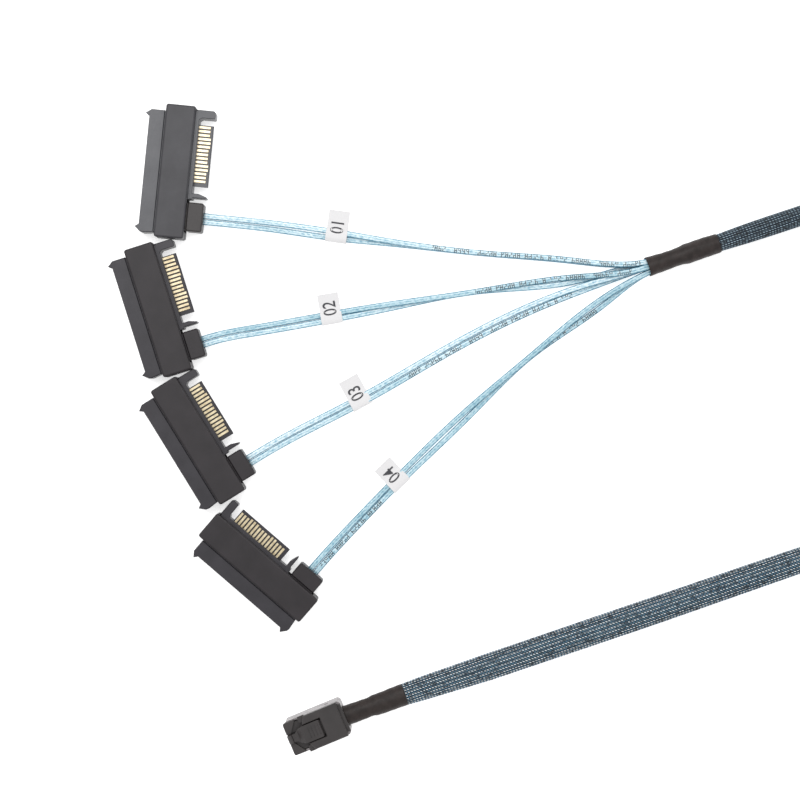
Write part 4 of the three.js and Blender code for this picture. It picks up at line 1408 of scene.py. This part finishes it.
@dataclass
class Stage:
    """Table, light and the camera at the photograph's place. Lengths are in metres."""

    camera_height: float = 0.564
    lens: float = 76.52
    sensor: float = 36.0
    seen: Pair = (0.01, 20.0)
    table_reach: float = 3.0
    table_drop: float = 0.00002
    sky: float = 0.95
    softbox_place: tuple[float, float, float] = (-0.12, 0.4, 1.0)
    softbox_size: Pair = (0.75, 0.5)
    softbox_watts: float = 5.0

    def build(self) -> None:
        """Makes the table, the world's light, a softbox and the camera."""
        scene = bpy.context.scene
        scene.view_settings.view_transform = "Standard"
        scene.view_settings.look = "None"
        r = self.table_reach
        mesh = bpy.data.meshes.new("table")
        mesh.from_pydata([(-r, -r, 0), (r, -r, 0), (r, r, 0), (-r, r, 0)], [], [(0, 1, 2, 3)])
        mesh.materials.append(TableTop("table_top").build())
        self.put("table", mesh, (0, 0, -self.table_drop))
        world = bpy.data.worlds.new("studio")
        world.use_nodes = True
        background = world.node_tree.nodes["Background"]
        background.inputs["Color"].default_value = (*WHITE, 1)
        background.inputs["Strength"].default_value = self.sky
        scene.world = world
        light = bpy.data.lights.new("softbox", "AREA")
        light.shape = "RECTANGLE"
        light.size, light.size_y = self.softbox_size
        light.energy = self.softbox_watts
        self.put("softbox", light, self.softbox_place)
        lens = bpy.data.cameras.new("camera")
        lens.lens = self.lens
        lens.sensor_width = self.sensor
        lens.clip_start, lens.clip_end = self.seen
        x, y = LAYOUT_SHIFT[:2] * MM
        scene.camera = self.put("camera", lens, (x, y, self.camera_height))

    @staticmethod
    def put(name: str, data: bpy.types.ID, place: tuple[float, float, float]) -> Piece:
        """Links a new object to the scene.

        Args:
            name: the object's name.
            data: its mesh, light or camera.
            place: where it stands, in metres.

        Returns:
            The object.
        """
        made = bpy.data.objects.new(name, data)
        made.location = place
        bpy.context.scene.collection.objects.link(made)
        return made


@dataclass
class Lead:
    """A drive connector's two ribbons and its flag.

    It has a cell in the trunk's mouth, a tone and the printed stretches for each ribbon, the
    left one first.
    """

    connector: Connector
    route: list[list[float]]
    cells: tuple[tuple[int, int], tuple[int, int]]
    tones: Pair
    prints: tuple[Stretches, Stretches]
    flag: Flag

    def build(self, mouth: Connector, level: float) -> list[Piece]:
        """Builds the ribbons, each with a film of its own.

        Args:
            mouth: the place and heading of the trunk's mouth.
            level: the height of the mouth's middle in millimetres.

        Returns:
            The left ribbon and the right one.
        """
        made = []
        for side, cell, tone, marks in zip(Side, self.cells, self.tones, self.prints):
            film = RibbonFilm(f"{self.connector.name}_film_{side.name.lower()}", marks, tone).build()
            made.append(Ribbon(self.connector, side, cell, self.route).build(mouth, level, film))
        return made


class BreakoutCable:
    """The cable's fan: its leads and the heat-shrink at the trunk's two ends."""

    BESIDE = 1.0
    ABOVE = 0.62
    LEVEL = 3.3
    MOUTH = Connector("mouth", 81.6, 43.8, 18.9)
    PLUG = Connector("plug", -36.4, -111.2, 22.5)
    BREAKOUT_LENGTH = 24.6

    def __init__(self) -> None:
        """Settles where everything lies, as the solids do."""
        b, a = self.BESIDE, self.ABOVE
        self.leads = [
            Lead(
                Connector("p1", -73.7, 74.898, -95.7),
                [[-42, 57.4, 1.6, b, a], [-21, 54.4, 2.1, b, a], [-3.3, 52.1, 1.6, 0.35, a],
                 [26.5, 48.6, 1.5, 0, a], [56.4, 46.1, 2, 0.1, a]],
                ((1, 1), (1, 0)), (1.0, 0.95), (((76, 148),), ()),
                Flag(Connector("p1", -21, 54.4, -8), 2.1, a, 8.2, "01"),
            ),
            Lead(
                Connector("p2", -79.3, 29.597, -72.5),
                [[-47, 23.2, 0.8, b, 0], [-22.7, 27.5, 1.3, b, 0], [-3.3, 31, 1.5, 0.65, a],
                 [25, 35.8, 1.5, 0, a], [56.4, 39.7, 1.7, 0.8, a]],
                ((0, 1), (1, -1)), (0.72, 0.95), (((92, 144),), ()),
                Flag(Connector("p2", -22.7, 27.5, 10), 1.3, 0, 7.8, "02"),
            ),
            Lead(
                Connector("p3", -66.2, -13.302, -58.4),
                [[-40, -14.2, 0.8, b, 0], [-13.2, -0.2, 1.3, b, 0], [16.6, 16.9, 0.75, b, 0],
                 [43.1, 30.2, 0.75, b, 0], [61.5, 37.3, 1.6, 0.7, a]],
                ((0, 0), (0, -1)), (1.1, 0.92), ((), ((60, 122),)),
                Flag(Connector("p3", -13.2, -0.2, 29), 1.3, 0, 8.4, "03"),
            ),
            Lead(
                Connector("p4", -46.401, -54.899, -40.8),
                [[-19.5, -46.2, 0.8, b, 0], [-0.7, -26.7, 1.3, b, 0], [23.2, -3.7, 1.1, b, 0.4],
                 [43.1, 14.3, 1.5, 0.1, a], [67, 32.4, 1.5, b, 0.6]],
                ((-1, 0), (-1, -1)), (0.7, 0.76), ((), ((3, 34), (98, 128))),
                Flag(Connector("p4", -0.7, -26.7, 44), 1.3, 0, 7.6, "04"),
            ),
        ]

    def ribbons(self) -> list[Piece]:
        """Builds the eight ribbons in the leads' order."""
        return [piece for lead in self.leads for piece in lead.build(self.MOUTH, self.LEVEL)]

    def tubing(self, finishes: Finishes) -> list[Piece]:
        """Builds the two heat-shrink tubes.

        Args:
            finishes: the cable's materials.

        Returns:
            The breakout's tube and the plug's.
        """
        length = self.BREAKOUT_LENGTH
        ends = [self.MOUTH.point(along, 0, self.LEVEL) for along in (0, length)]
        breakout = ShrunkTube(
            "breakout_tubing", "breakout_heat_shrink", *ends,
            [(0, 3.3), (8, 3), (11, 3), (13.5, 3.45), (22, 3.4), (length, 3.25)],
            flatness=0.95, ridges=(13, 24), seed=0.4, mouth=2.4,
        )
        at_plug = ShrunkTube(
            "plug_tubing", "plug_heat_shrink", self.PLUG.point(19.6, -0.3, 4.7), [1.6, -97.1, 2.95],
            [(0, 3.4), (9.4, 3.2), (10.4, 3.55), (14, 3.6), (18, 3.7), (24, 3.75)],
            flatness=0.8, ridges=(12, 30), seed=1.9,
        )
        return [breakout.build(finishes.shrink), at_plug.build(finishes.plug_shrink)]


def report(kind: str, pieces: list[Piece]) -> None:
    """Logs each piece of a kind by its name."""
    for piece in pieces:
        LOG.info("%s: %s", kind, piece.name)


def main() -> None:
    """Builds the scene in order: camera, cords, what is on them, then the hard parts."""
    logging.basicConfig(level=logging.INFO, format="%(name)s: %(message)s")
    Stage().build()
    finishes = Finishes()
    cable = BreakoutCable()
    report("ribbon", cable.ribbons())
    trunk = Trunk()
    core, *braids = trunk.build(finishes)
    report("trunk", [core, *braids])
    tubes = cable.tubing(finishes)
    report("tubing", tubes)
    strap = CoilTie().build(finishes.strap)
    report("strap", [strap])
    for lead in cable.leads:
        report("flag", lead.flag.build(finishes))
    report("hard part", HardParts(finishes).dress())


if __name__ == "__main__":
    main()
